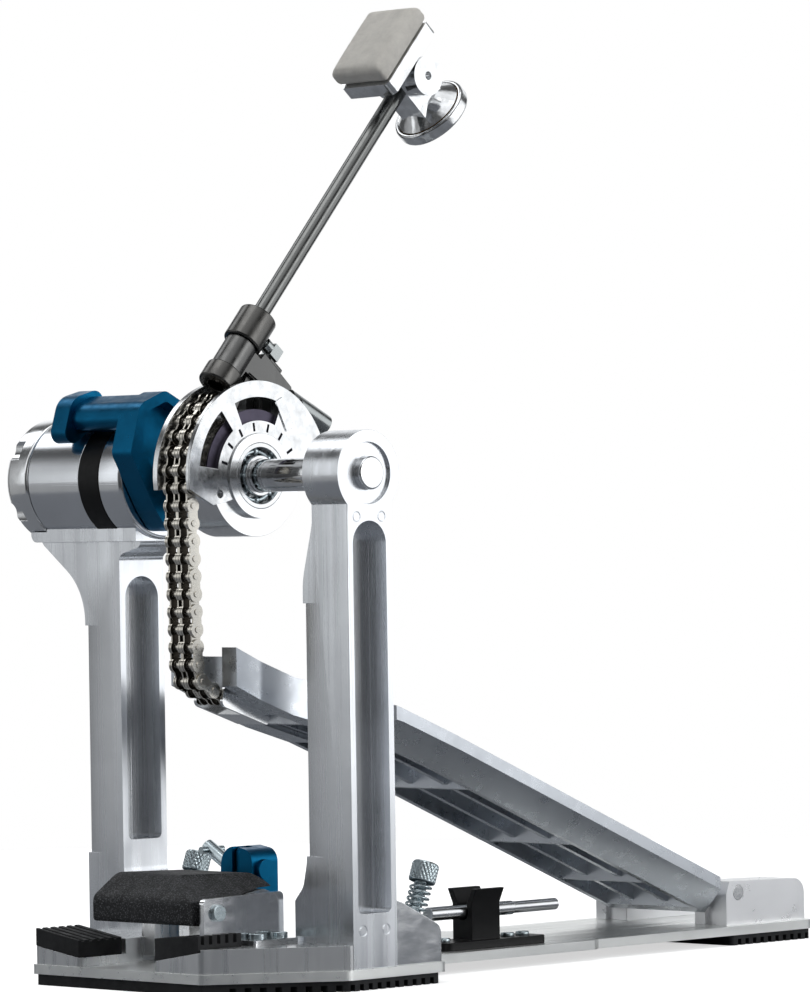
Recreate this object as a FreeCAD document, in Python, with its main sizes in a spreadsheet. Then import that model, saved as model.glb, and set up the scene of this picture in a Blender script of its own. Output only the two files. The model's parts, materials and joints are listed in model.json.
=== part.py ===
"""Bass drum pedal: chain drive, two uprights, spring housing, hoop clamp, spurs and two-sided beater.

Frame: X runs along the axle towards the open upright, -Y points at the drum, +Z is up.
The origin is on the floor, under the middle of the axle. Millimetres.
"""
import FreeCAD
import Part
import Sketcher
import math
import os
import re
from FreeCAD import Placement, Rotation, Vector

SIZES = {
    # levels
    "axle_height": 183.0, "foot_thick": 4.0, "plate_thick": 3.5, "yoke_thick": 8.7,
    # base plate outline
    "front_edge": 57.4, "front_left": -49.5, "front_right": 39.4, "wing": 70.5, "wing_front": 14.0,
    "wing_back": 35.0, "tail_mid": 3.5, "tail_half": 39.0, "tail_end": 271.0, "tail_step": 2.5,
    "step_at": 140.0, "tooth_pitch": 4.4, "tooth_gap": 1.9, "tooth_deep": 2.4,
    # uprights
    "post_out": 69.2, "post_crease": 54.4, "post_in": 46.0, "post_half": 10.9, "facet_deep": 1.5,
    "pocket_half": 8.2, "pocket_low": 27.0, "pocket_top": 166.0, "pocket_deep": 9.0,
    "boss_size": 15.4, "boss_in": 51.2, "foot_in": 39.6, "foot_top": 31.0, "foot_arc": 12.0,
    "far_in": -51.0, "far_crease": -61.7, "far_out": -70.3, "saddle_half": 13.4, "saddle_top": 165.0,
    "saddle_low": 160.0, "saddle_far": -97.0, "saddle_near": -39.0,
    # axle and bearings
    "axle_size": 6.0, "axle_out": 71.2, "axle_end": -84.0, "bearing_size": 12.0, "bearing_wide": 6.0,
    "ball_size": 1.5, "ball_path": 9.0, "race_wall": 1.8, "fit_gap": 0.05,
    # drive wheel
    "chain_mid": 3.75, "wheel_size": 34.5, "drum_size": 24.2, "hub_size": 22.0, "flange_far": -6.2,
    "flange_thick": 2.4, "face_in": 11.2, "face_thick": 2.0, "hub_far": -8.0, "hub_near": 14.0,
    "seat_ring": 15.4, "tube_size": 9.5, "tube_end": -84.0, "wheel_from": 8.0, "wheel_to": 188.0,
    # duplex roller chain
    "pitch": 6.35, "pitch_size": 30.3, "plate_half": 2.9, "link_thin": 0.75, "roller_size": 1.65,
    "strand": 3.2, "inner_half": 1.6, "bush_bore": 1.25, "pin_size": 0.5,
    "toe_links": 3, "run_links": 10, "free_links": 5, "wrap_links": 1,
    # beater
    "shaft_size": 3.2, "lean": 40.8, "shaft_y": 11.7, "shaft_up": 60.3, "shaft_low": -29.5,
    "shaft_top": 119.5,
    "collar_size": 7.3, "sleeve_size": 6.0, "low_collar_size": 7.0, "pad_wide": 26.0, "pad_tall": 33.0,
    "pad_thick": 8.0, "disc_size": 15.0, "disc_y": 15.6, "head_mid": 115.8, "stop_lean": 13.8,
    "stop_y": 27.5, "stop_z": -18.9,
    # spring housing
    "house_size": 22.5, "house_wall": 2.5, "house_far": -88.0, "band_far": -60.0, "band_near": -49.0,
    "house_near": -37.0, "cap_far": -101.0, "spring_size": 14.5, "spring_wire": 2.2,
    # footboard
    "heel_y": 229.0, "heel_z": 20.0, "heel_pin": 3.0, "barrel_size": 6.6, "board_half": 33.5,
    "toe_half": 17.3, "toe_y": -20.0, "deck_thick": 3.5, "rail_deep": 13.0, "rail_slope": 8.5,
    "bracket_wide": 16.5,
    "bracket_gap": 18.0, "bracket_front": 222.0, "bracket_back": 268.0, "bracket_top": 24.6,
    # hoop clamp
    "jaw_left": -20.0, "jaw_right": 31.0, "jaw_front": -54.0, "channel_x": 33.0,
    "hinge_y": -17.0, "hinge_z": 29.0,
    # spurs and tool
    "spur_x": 60.0, "spur_y": 28.5, "spur_z": 24.0, "spur_tilt": 21.0, "spur_size": 2.5, "spur_head": 5.0,
    "tool_x": 30.0, "tool_z": 21.0, "tool_size": 2.6,
}

doc = FreeCAD.newDocument("bass_drum_pedal")
sheet = doc.addObject("Spreadsheet::Sheet", "Dims")
for row, (alias, amount) in enumerate(SIZES.items(), start=1):
    sheet.set(f"A{row}", alias)
    sheet.set(f"B{row}", str(amount))
    sheet.setAlias(f"B{row}", alias)
doc.recompute()

TURN = {"X": Rotation(Vector(0, 1, 0), 90), "Y": Rotation(Vector(1, 0, 0), -90), "Z": Rotation()}
NODES = []


def dims(expression):
    """Write a size expression with its sheet references, such as axle_height / 2."""
    return re.sub(r"[a-z_]+", lambda word: "Dims." + word.group() if word.group() in SIZES else word.group(),
                  str(expression))


def number(expression):
    return float(sheet.evalExpression(dims(expression)))


def node(label, piece):
    """Register an object as one named piece of the pedal."""
    piece.Label = label
    NODES.append(piece)
    return piece


# ---------------------------------------------------------------- PartDesign helpers

def body(name):
    return doc.addObject("PartDesign::Body", name)


def sketch_on(owner, role, offset="0", rise="0"):
    """A sketch on one of the body's own origin planes, moved out along it and up within it."""
    sketch = owner.newObject("Sketcher::SketchObject", owner.Name + "_sketch")
    plane = [feature for feature in owner.Origin.OriginFeatures if feature.Role == role][0]
    sketch.AttachmentSupport = (plane, [""])
    sketch.MapMode = "FlatFace"
    sketch.setExpression("AttachmentOffset.Base.z", dims(offset))
    sketch.setExpression("AttachmentOffset.Base.y", dims(rise))
    return sketch


def bind(sketch, constraint, expression):
    index = sketch.addConstraint(constraint)
    sketch.setExpression(f"Constraints[{index}]", dims(expression))


def fix_point(sketch, geometry, end, x, y):
    for kind, place in (("DistanceX", x), ("DistanceY", y)):
        bind(sketch, Sketcher.Constraint(kind, -1, 1, geometry, end, number(place)), place)


def circle(sketch, x, y, radius):
    ring = Part.Circle(Vector(number(x), number(y), 0), Vector(0, 0, 1), number(radius))
    index = sketch.addGeometry(ring)
    fix_point(sketch, index, 3, x, y)
    bind(sketch, Sketcher.Constraint("Radius", index, number(radius)), radius)


def outline(sketch, corners):
    """A closed outline through corners (x, y) or (x, y, rounding radius), each bound to the sheet."""
    spots = [Vector(number(corner[0]), number(corner[1]), 0) for corner in corners]
    count = len(corners)
    begins, finishes, arcs = [], [], []
    for i, corner in enumerate(corners):
        radius = number(corner[2]) if len(corner) > 2 else 0
        back = (spots[i - 1] - spots[i]).normalize()
        ahead = (spots[(i + 1) % count] - spots[i]).normalize()
        half = back.getAngle(ahead) / 2
        begins.append(spots[i] + back * (radius / math.tan(half)))
        finishes.append(spots[i] + ahead * (radius / math.tan(half)))
        centre = spots[i] + (back + ahead).normalize() * (radius / math.sin(half))
        first, last = begins[i] - centre, finishes[i] - centre
        left = first.cross(last).z > 0
        angles = [math.atan2(first.y, first.x), math.atan2(last.y, last.x)]
        span = angles if left else angles[::-1]
        arcs.append(None if radius == 0 else
                    (Part.ArcOfCircle(Part.Circle(centre, Vector(0, 0, 1), radius), *span), left))
    lines = [sketch.addGeometry(Part.LineSegment(finishes[i], begins[(i + 1) % count])) for i in range(count)]
    for i, corner in enumerate(corners):
        before, after = lines[i - 1], lines[i]
        if arcs[i] is None:
            sketch.addConstraint(Sketcher.Constraint("Coincident", before, 2, after, 1))
            fix_point(sketch, after, 1, corner[0], corner[1])
            continue
        arc, left = arcs[i]
        index = sketch.addGeometry(arc)
        sketch.addConstraint(Sketcher.Constraint("Tangent", before, 2, index, 1 if left else 2))
        sketch.addConstraint(Sketcher.Constraint("Tangent", index, 2 if left else 1, after, 1))
        bind(sketch, Sketcher.Constraint("Radius", index, number(corner[2])), corner[2])
        point = sketch.addGeometry(Part.Point(spots[i]), True)
        sketch.addConstraint(Sketcher.Constraint("PointOnObject", point, 1, before))
        sketch.addConstraint(Sketcher.Constraint("PointOnObject", point, 1, after))
        fix_point(sketch, point, 1, corner[0], corner[1])


def rectangle(sketch, left, low, right, high, rounding=None):
    extra = () if rounding is None else (rounding,)
    outline(sketch, [(left, low) + extra, (right, low) + extra, (right, high) + extra, (left, high) + extra])


def extrude(owner, kind, sketch, length, both=False, backwards=False):
    feature = owner.newObject("PartDesign::" + kind, owner.Name + "_" + kind.lower())
    feature.Profile = sketch
    feature.SideType = "Symmetric" if both else "One side"
    feature.Reversed = backwards
    feature.setExpression("Length", dims(length))
    owner.Tip = feature
    return feature


def pad(owner, sketch, length, both=False, backwards=False):
    return extrude(owner, "Pad", sketch, length, both, backwards)


def pocket(owner, sketch, length, both=False, backwards=False):
    """Cut material; a check at the end of the script sees that no pocket misses the solid."""
    return extrude(owner, "Pocket", sketch, length, both, backwards)


def spin(owner, kind, sketch):
    """Revolve a sketch about its own horizontal axis; kind is Revolution or Groove."""
    feature = owner.newObject("PartDesign::" + kind, owner.Name + "_" + kind.lower())
    feature.Profile = sketch
    feature.ReferenceAxis = (sketch, ["H_Axis"])
    feature.Angle = 360
    owner.Tip = feature
    return feature


def row_of(owner, feature, role, pitch, times):
    """Repeat a feature along one of the body's own axes."""
    pattern = owner.newObject("PartDesign::LinearPattern", owner.Name + "_row")
    pattern.Originals = [feature]
    axis = [item for item in owner.Origin.OriginFeatures if item.Role == role][0]
    pattern.Direction = (axis, [""])
    pattern.Mode = "Spacing"
    pattern.setExpression("Offset", dims(pitch))
    pattern.Occurrences = times
    owner.Tip = pattern
    return pattern


# ---------------------------------------------------------------- Part helpers

def put(piece, x, y, z, axis="Z"):
    piece.Placement = Placement(Vector(), TURN[axis])
    for name, place in zip("xyz", (x, y, z)):
        piece.setExpression("Placement.Base." + name, dims(place))
    return piece


def cylinder(radius, length, x, y, z, axis="Z"):
    piece = doc.addObject("Part::Cylinder", "cylinder")
    piece.setExpression("Radius", dims(radius))
    piece.setExpression("Height", dims(length))
    return put(piece, x, y, z, axis)


def cone(radius_low, radius_high, length, x, y, z, axis="Z"):
    piece = doc.addObject("Part::Cone", "cone")
    piece.setExpression("Radius1", dims(radius_low))
    piece.setExpression("Radius2", dims(radius_high))
    piece.setExpression("Height", dims(length))
    return put(piece, x, y, z, axis)


def box(x, y, z, long, wide, high):
    piece = doc.addObject("Part::Box", "box")
    for name, amount in (("Length", long), ("Width", wide), ("Height", high)):
        piece.setExpression(name, dims(amount))
    return put(piece, x, y, z)


def joined(*pieces):
    result = doc.addObject("Part::MultiFuse", "joined")
    result.Shapes = list(pieces)
    return result


def less(base, *tools):
    result = doc.addObject("Part::Cut", "less")
    result.Base = base
    result.Tool = tools[0] if len(tools) == 1 else joined(*tools)
    return result


def group(*pieces):
    """Several identical fasteners or fittings that share one node."""
    result = doc.addObject("Part::Compound", "group")
    result.Links = list(pieces)
    return result


def ring(outer, inner, length, x, y, z, axis="X"):
    hole_from = {"X": (f"{x} - 1", y, z), "Y": (x, f"{y} - 1", z), "Z": (x, y, f"{z} - 1")}[axis]
    return less(cylinder(outer, length, x, y, z, axis), cylinder(inner, f"{length} + 2", *hole_from, axis))


def eased(piece, radius, picks):
    """Round the edges that picks accepts; picks gets an edge's middle point and its direction."""
    doc.recompute()
    edges = []
    for index, edge in enumerate(piece.Shape.Edges, start=1):
        middle = edge.valueAt((edge.FirstParameter + edge.LastParameter) / 2)
        along = edge.tangentAt((edge.FirstParameter + edge.LastParameter) / 2)
        if picks(middle, along):
            edges.append((index, radius, radius))
    result = doc.addObject("Part::Fillet", "eased")
    result.Base = piece
    result.Edges = edges
    return result


def made(shape):
    piece = doc.addObject("Part::Feature", "made")
    piece.Shape = shape
    return piece


PLATE_TOP = "(foot_thick + plate_thick)"
YOKE_TOP = "(foot_thick + plate_thick + yoke_thick)"


# ---------------------------------------------------------------- base

def front_outline(inset):
    """The wide front part of the base plate; inset draws it smaller all round."""
    return [
        (f"front_left + {inset}", f"{inset} - front_edge", "3"),
        (f"front_right - {inset}", f"{inset} - front_edge", "3"),
        (f"wing - {inset}", f"{inset} - wing_front", "6"),
        (f"wing - {inset}", f"wing_back - {inset}", "5"),
    ]


def base_plate():
    plate = body("base_plate")
    edge = sketch_on(plate, "XY_Plane", "foot_thick")
    outline(edge, front_outline("0") + [
        ("tail_mid + tail_half + tail_step", "wing_back + 8", "6"),
        ("tail_mid + tail_half + tail_step", "step_at", "2"),
        ("tail_mid + tail_half", "step_at + 4", "2"),
        ("tail_mid + tail_half", "tail_end", "7"),
        ("tail_mid - tail_half", "tail_end", "7"),
        ("tail_mid - tail_half", "step_at + 4", "2"),
        ("tail_mid - tail_half - tail_step", "step_at", "2"),
        ("tail_mid - tail_half - tail_step", "wing_back + 8", "6"),
        ("-wing", "wing_back", "5"),
        ("-wing", "-wing_front", "6"),
    ])
    pad(plate, edge, "plate_thick")
    holes = sketch_on(plate, "XY_Plane", PLATE_TOP)
    for side in ("spur_x", "-spur_x"):
        circle(holes, side, "spur_y - (spur_z - foot_thick - plate_thick / 2) * tan(spur_tilt)",
               "spur_size + 1.2")
    for side in (-1, 1):
        circle(holes, f"{side} * 58", "0", "2.6")
        circle(holes, f"tail_mid + {side} * (bracket_gap + bracket_wide / 2)", "bracket_back - 14", "2.1")
    pocket(plate, holes, "plate_thick")
    return node("base_plate", plate)


def ribbed_foot(label, corners, first, times):
    """A rubber sheet under the plate with grooves along X in its lower face."""
    rubber = body(label)
    edge = sketch_on(rubber, "XY_Plane")
    outline(edge, corners)
    pad(rubber, edge, "foot_thick")
    groove = sketch_on(rubber, "YZ_Plane")
    rectangle(groove, first, "-1", f"{first} + tooth_gap", "tooth_deep")
    cut = pocket(rubber, groove, "4 * wing", both=True)
    row_of(rubber, cut, "Y_Axis", "tooth_pitch", times)
    return rubber


def rubber_feet():
    front = front_outline("1") + [("1 - wing", "wing_back - 1", "5"), ("1 - wing", "1 - wing_front", "6")]
    front_foot = ribbed_foot("front_foot", front, "-48", 18)
    hole = sketch_on(front_foot, "XY_Plane", "foot_thick")
    for side in ("spur_x", "-spur_x"):
        circle(hole, side, "spur_y - (spur_z - foot_thick / 2) * tan(spur_tilt)", "spur_size + 1.6")
    pocket(front_foot, hole, "foot_thick")
    node("front_foot_rubber", front_foot)
    heel = [("tail_mid - tail_half + 1", "tail_end - 50", "2"), ("tail_mid + tail_half - 1",
                                                                 "tail_end - 50", "2"),
            ("tail_mid + tail_half - 1", "tail_end - 1", "6"), ("tail_mid - tail_half + 1", "tail_end - 1",
                                                                "6")]
    node("heel_foot_rubber", ribbed_foot("heel_foot", heel, "tail_end - 46.5", 10))


def yoke():
    """Casting on the plate in front of the uprights, open in the middle for the hoop clamp."""
    casting = body("yoke")
    edge = sketch_on(casting, "XY_Plane", PLATE_TOP)
    outline(edge, [
        ("front_right - 0.8", "0.8 - front_edge", "3"), ("wing - 1.2", "-12.6"), ("wing - 1.2", "-11.2"),
        ("foot_in - 0.4", "-11.2"), ("foot_in - 0.4", "10", "2"), ("-foot_in - 0.4", "10", "2"),
        ("-foot_in - 0.4", "-11.2"), ("-wing + 1.2", "-11.2"), ("-wing + 1.2", "-12.6"),
        ("front_left + 0.8", "0.8 - front_edge", "3"), ("-25", "0.8 - front_edge", "1.5"), ("-27", "-6", "5"),
        ("15", "-6", "5"), ("14.5", "0.8 - front_edge", "1.5"),
    ])
    pad(casting, edge, "yoke_thick")
    step = sketch_on(casting, "XZ_Plane", "front_edge + 1")
    outline(step, [("14", "22"), ("14", "11.2"), ("38.5", f"{YOKE_TOP} - 1"), ("38.5", "22")])
    pocket(casting, step, "23.2")
    slope = sketch_on(casting, "XZ_Plane", "front_edge + 1")
    outline(slope, [("-51", "22"), ("-51", "14.5"), ("-24", "10.5"), ("-24", "22")])
    pocket(casting, slope, "25.2")
    floor = sketch_on(casting, "XY_Plane", YOKE_TOP)
    rectangle(floor, "-foot_in + 1", "-12", "foot_in - 1", "12")
    pocket(casting, floor, "yoke_thick - 4")
    lug = sketch_on(casting, "YZ_Plane", "jaw_left - 8")
    outline(lug, [("hinge_y - 7", f"{PLATE_TOP} + 2"), ("hinge_y + 6", f"{PLATE_TOP} + 2"),
                  ("hinge_y + 5", "hinge_z + 5", "4.5"), ("hinge_y - 5", "hinge_z + 5", "4.5")])
    pad(casting, lug, "7")
    eye = sketch_on(casting, "YZ_Plane", "jaw_left - 1")
    circle(eye, "hinge_y", "hinge_z", "2")
    pocket(casting, eye, "3")
    return node("front_yoke", casting)


def near_post():
    post = body("near_post")
    side = sketch_on(post, "XZ_Plane")
    outline(side, [
        ("foot_in", PLATE_TOP), ("post_out", PLATE_TOP), ("post_out", "axle_height"), ("boss_in",
                                                                                       "axle_height"),
        ("boss_in", "axle_height - 18", "18"), ("post_in", "axle_height - 38", "30"),
        ("post_in", "foot_top + 14", "12"), ("post_in - 2", "foot_top + 5", "6"), ("foot_in", "foot_top",
                                                                                   "1"),
    ])
    pad(post, side, "2 * post_half", both=True)
    boss = sketch_on(post, "YZ_Plane", "boss_in", "axle_height")
    circle(boss, "0", "0", "boss_size")
    pad(post, boss, "post_out - boss_in")
    facet = sketch_on(post, "XY_Plane", "foot_top + 16")
    outline(facet, [("post_crease", "-post_half"), ("post_in - 6", "facet_deep + 1 - post_half"),
                    ("post_in - 6", "-post_half - 2"), ("post_crease", "-post_half - 2")])
    pocket(post, facet, "axle_height - 62 - foot_top", backwards=True)
    window = sketch_on(post, "YZ_Plane", "post_out")
    rectangle_with_round_top(window)
    pocket(post, window, "pocket_deep")
    dots = sketch_on(post, "YZ_Plane", "post_out")
    for y, z in (("5.5", "pocket_low - 6"), ("-6", "pocket_low - 6"), ("6.2", "pocket_top + 1.5"),
                 ("-6.2", "pocket_top + 1.5")):
        circle(dots, y, z, "1.9")
        circle(dots, y, z, "1.6")
    pocket(post, dots, "0.25")
    recess = sketch_on(post, "YZ_Plane", "post_out", "axle_height")
    circle(recess, "0", "0", "11")
    pocket(post, recess, "1.2")
    bore = sketch_on(post, "YZ_Plane", "post_out", "axle_height")
    circle(bore, "0", "0", "axle_size")
    pocket(post, bore, "30")
    return node("near_post", post)


def rectangle_with_round_top(sketch):
    """The window of an upright: flat at the bottom with small rounds, a half circle at the top."""
    outline(sketch, [
        ("-pocket_half", "pocket_low", "2"), ("pocket_half", "pocket_low", "2"),
        ("pocket_half", "pocket_top", "pocket_half - 0.05"), ("-pocket_half", "pocket_top",
                                                              "pocket_half - 0.05"),
    ])


def far_post(casting):
    """The upright that carries the spring housing in a saddle, cut round the front casting."""
    post = body("far_post")
    side = sketch_on(post, "XZ_Plane")
    outline(side, [
        ("far_out", PLATE_TOP), ("-foot_in", PLATE_TOP), ("-foot_in", "foot_top", "2"),
        ("far_in", "foot_top", "foot_arc - 3"), ("far_in", "saddle_low - 5", "3"), ("saddle_near",
                                                                                    "saddle_low - 2", "3"),
        ("saddle_near", "saddle_top"), ("saddle_far", "saddle_top"), ("saddle_far + 4", "saddle_low - 1",
                                                                      "5"),
        ("far_out", "saddle_low - 18", "24"),
    ])
    pad(post, side, "2 * post_half", both=True)
    saddle = sketch_on(post, "XZ_Plane")
    outline(saddle, [("saddle_near", "saddle_low"), ("saddle_near", "saddle_top"), ("saddle_far",
                                                                                    "saddle_top"),
                     ("saddle_far", "saddle_low", "3")])
    pad(post, saddle, "2 * saddle_half", both=True)
    seat = sketch_on(post, "YZ_Plane", "-120", "axle_height")
    circle(seat, "0", "0", "house_size + 0.02")
    pocket(post, seat, "100", backwards=True)
    for start, length, radius in (("-120", "119.8 + house_far", "house_size + 0.9"),
                                  ("band_far", "band_near - band_far", "house_size + 0.15")):
        relief = sketch_on(post, "YZ_Plane", start, "axle_height")
        circle(relief, "0", "0", radius)
        pocket(post, relief, length, backwards=True)
    facet = sketch_on(post, "XY_Plane", "foot_top + 14")
    outline(facet, [("far_crease", "-post_half"), ("far_crease", "-post_half - 2"),
                    ("far_out - 2", "-post_half - 2"), ("far_out - 2", "facet_deep + 0.4 - post_half")])
    pocket(post, facet, "saddle_low - 45 - foot_top", backwards=True)
    window = sketch_on(post, "YZ_Plane", "far_in")
    outline(window, [
        ("-pocket_half", "pocket_low + 23", "2"), ("pocket_half", "pocket_low + 23", "2"),
        ("pocket_half", "saddle_low - 13", "pocket_half - 0.05"),
        ("-pocket_half", "saddle_low - 13", "pocket_half - 0.05"),
    ])
    pocket(post, window, "pocket_deep")
    post.Label = "far_post_casting"
    node("far_post", less(post, casting))


def axle():
    shaft = cylinder("axle_size - 0.02", "axle_out - axle_end", "axle_end", "0", "axle_height", "X")
    node("axle", eased(shaft, 0.8, lambda middle, along: middle.x > 70 and abs(along.x) < 0.1))


def heel_brackets():
    """Two cast cheeks that hold the heel pin, hollow behind a small arch in the front face."""
    for side, name in ((1, "near_heel_bracket"), (-1, "far_heel_bracket")):
        cheek = body(name)
        middle = f"tail_mid + {side} * (bracket_gap + bracket_wide / 2)"
        profile = sketch_on(cheek, "YZ_Plane", middle)
        outline(profile, [
            ("bracket_front", PLATE_TOP), ("bracket_back", PLATE_TOP), ("bracket_back", "bracket_top - 1",
                                                                        "6"),
            ("bracket_front + 2", "bracket_top"), ("bracket_front", "bracket_top - 5", "5"),
        ])
        pad(cheek, profile, "bracket_wide", both=True)
        arch = sketch_on(cheek, "XZ_Plane", "-bracket_front - 2")
        outline(arch, [
            (f"{middle} - 2.8", f"{PLATE_TOP} - 1"), (f"{middle} + 2.8", f"{PLATE_TOP} - 1"),
            (f"{middle} + 2.8", f"{PLATE_TOP} + 7", "2.7"), (f"{middle} - 2.8", f"{PLATE_TOP} + 7", "2.7"),
        ])
        pocket(cheek, arch, "30", backwards=True)
        eye = sketch_on(cheek, "YZ_Plane", f"{middle} - bracket_wide")
        circle(eye, "heel_y", "heel_z", "heel_pin")
        pocket(cheek, eye, "2 * bracket_wide", backwards=True)
        node(name, cheek)
    reach = "2 * (bracket_gap + bracket_wide)"
    start = "tail_mid - bracket_gap - bracket_wide"
    node("heel_pin", cylinder("heel_pin - 0.02", reach, start, "heel_y", "heel_z", "X"))


# ---------------------------------------------------------------- spring housing

def spring_housing():
    """Tube along the axle with a closed near end, open at the far end for the tension cap."""
    shell = body("spring_housing")
    profile = sketch_on(shell, "XZ_Plane", "0", "axle_height")
    wall = "house_size - house_wall"
    outline(profile, [
        ("house_far", "house_size"), ("band_far", "house_size"), ("band_far", "house_size - 1.2"),
        ("band_near", "house_size - 1.2"), ("band_near", "house_size"), ("house_near", "house_size", "1.5"),
        ("house_near", "tube_size + 0.6"), ("house_near - 3", "tube_size + 0.6"), ("house_near - 3", wall),
        ("house_far", wall),
    ][::-1])
    spin(shell, "Revolution", profile)
    node("spring_housing", shell)
    node("housing_band", ring("house_size + 0.1", "house_size - 1.2", "band_near - band_far - 0.1",
                              "band_far + 0.05",
                              "0", "axle_height"))


def tension_cap():
    """Turning end cap of the housing; the notches in its rim are for the fingers."""
    cap = body("tension_cap")
    profile = sketch_on(cap, "XZ_Plane", "0", "axle_height")
    outline(profile, [
        ("house_far - 0.3", "house_size + 0.6", "1"), ("house_far - 0.3", "house_size - 6"),
        ("cap_far + 3", "house_size - 6"), ("cap_far + 3", "4"), ("cap_far", "4"),
        ("cap_far", "house_size - 1", "2"), ("cap_far + 3", "house_size + 0.6", "1"),
    ][::-1])
    spin(cap, "Revolution", profile)
    notch = sketch_on(cap, "YZ_Plane", "cap_far - 1", "axle_height")
    for step in range(6):
        angle = 2 * math.pi * (step + 0.5) / 6
        circle(notch, f"{math.cos(angle):.4f} * (house_size + 2)",
               f"{math.sin(angle):.4f} * (house_size + 2)", "4.4")
    pocket(cap, notch, "8", backwards=True)
    return node("tension_cap", cap)


def helix(radius, wire, long, turns):
    """A round-wire coil that stands on the origin along +Z."""
    coil = Part.makeHelix(long / turns, long, radius)
    start = Part.makeCircle(wire / 2, Vector(radius, 0, 0), Vector(0, 1, 0))
    return Part.Wire(coil.Edges).makePipeShell([Part.Wire(start)], True, True)


def return_spring():
    long = number("house_near - 6 - (cap_far + 8)")
    coil = made(helix(number("spring_size"), number("spring_wire"), long, 9))
    coil.Placement = Placement(Vector(number("cap_far + 8"), 0, number("axle_height")), TURN["X"])
    node("return_spring", coil)


def tension_lever():
    """Anodised lever that turns on the near end of the housing: cheek, cross bar and end flange."""
    lever = body("tension_lever")
    cheek = sketch_on(lever, "YZ_Plane", "house_near + 0.5", "axle_height")
    outline(cheek, [
        ("-27", "9", "4"), ("-15", "-12", "10"), ("-9", "-19.5", "5"), ("2", "-19.5", "6"), ("14", "2", "8"),
        ("13", "16", "5"), ("3.5", "25.5", "4"), ("-9.5", "32", "4"), ("-22", "27", "6"),
    ])
    pad(lever, cheek, "10.5")
    bar = sketch_on(lever, "YZ_Plane", "house_near + 1", "axle_height")
    outline(bar, [("-27", "9", "4"), ("-18", "17.5", "2"), ("-7", "24", "2"), ("-9.5", "32", "4"),
    ("-22", "27", "6")])
    pad(lever, bar, "26", backwards=True)
    flange = sketch_on(lever, "YZ_Plane", "house_near - 25", "axle_height")
    outline(flange, [("-29.8", "7.8", "4"), ("-7.2", "23", "2"), ("-8", "34", "4"),
                     ("-23", "30", "8")])
    pad(lever, flange, "8", backwards=True)
    hollow = sketch_on(lever, "YZ_Plane", "house_near + 11", "axle_height")
    outline(hollow, [("-21", "11", "3"), ("-10", "-8", "4"), ("6", "-6", "5"), ("11", "10", "4"), ("2",
                                                                                                   "22", "3"),
                     ("-9", "28", "3"), ("-19", "24", "4")])
    pocket(lever, hollow, "7")
    bore = sketch_on(lever, "YZ_Plane", "house_near - 2", "axle_height")
    circle(bore, "0", "0", "tube_size + 0.4")
    pocket(lever, bore, "20", backwards=True)
    eye = sketch_on(lever, "YZ_Plane", "house_near + 12", "axle_height")
    circle(eye, "-5", "-14.5", "2.2")
    pocket(lever, eye, "9")
    return node("tension_lever", lever)


# ---------------------------------------------------------------- drive wheel

def rim_point(angle, radius):
    """A point at an angle from +Y on a circle round the axle, as sheet expressions."""
    turn = math.radians(number(angle))
    return f"{math.cos(turn):.5f} * {radius}", f"{math.sin(turn):.5f} * {radius}"


def sector(sketch, radius, start, end, closing):
    """An outline of one arc round the axle, from angle start to end, closed through further points."""
    size = number(radius)
    first, last = math.radians(number(start)), math.radians(number(end))
    arc = sketch.addGeometry(Part.ArcOfCircle(Part.Circle(Vector(), Vector(0, 0, 1), size), first, last))
    fix_point(sketch, arc, 3, "0", "0")
    bind(sketch, Sketcher.Constraint("Radius", arc, size), radius)
    low, high = rim_point(start, radius), rim_point(end, radius)
    sketch.addConstraint(Sketcher.Constraint("DistanceY", -1, 1, arc, 1, number(low[1])))
    sketch.addConstraint(Sketcher.Constraint("DistanceY", -1, 1, arc, 2, number(high[1])))
    points = [high] + list(closing) + [low]
    spots = [Vector(number(x), number(y), 0) for x, y in points]
    lines = [sketch.addGeometry(Part.LineSegment(a, b)) for a, b in zip(spots, spots[1:])]
    sketch.addConstraint(Sketcher.Constraint("Coincident", arc, 2, lines[0], 1))
    for before, after, (x, y) in zip(lines, lines[1:], closing):
        sketch.addConstraint(Sketcher.Constraint("Coincident", before, 2, after, 1))
        fix_point(sketch, after, 1, x, y)
    sketch.addConstraint(Sketcher.Constraint("Coincident", lines[-1], 2, arc, 1))


def wheel_casting():
    wheel = body("wheel_casting")
    hub = sketch_on(wheel, "YZ_Plane", "hub_far", "axle_height")
    circle(hub, "0", "0", "hub_size")
    pad(wheel, hub, "face_in - hub_far - 0.1")
    nose = sketch_on(wheel, "YZ_Plane", "face_in - 0.1", "axle_height")
    circle(nose, "0", "0", "seat_ring")
    pad(wheel, nose, "hub_near - face_in + 0.1")
    closing = [("-19", "-4"), ("0", "-6"), ("19", "-2")]
    drum = sketch_on(wheel, "YZ_Plane", "flange_far", "axle_height")
    sector(drum, "drum_size", "wheel_from", "wheel_to - 4", closing)
    pad(wheel, drum, "face_in - flange_far - 0.1")
    flange = sketch_on(wheel, "YZ_Plane", "flange_far", "axle_height")
    sector(flange, "wheel_size", "wheel_from", "wheel_to", closing)
    pad(wheel, flange, "flange_thick")
    tube = sketch_on(wheel, "YZ_Plane", "hub_far", "axle_height")
    circle(tube, "0", "0", "tube_size + 3")
    pad(wheel, tube, "10", backwards=True)
    through = sketch_on(wheel, "YZ_Plane", "hub_far - 12", "axle_height")
    circle(through, "0", "0", "axle_size + 1")
    pocket(wheel, through, "60", backwards=True)
    for start, backwards in (("hub_near", False), ("hub_far", True)):
        seat = sketch_on(wheel, "YZ_Plane", start if not backwards else "hub_far - 10", "axle_height")
        circle(seat, "0", "0", "bearing_size")
        pocket(wheel, seat, "bearing_wide" if not backwards else "10 + bearing_wide", backwards=backwards)
    return node("drive_wheel", wheel)


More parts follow.
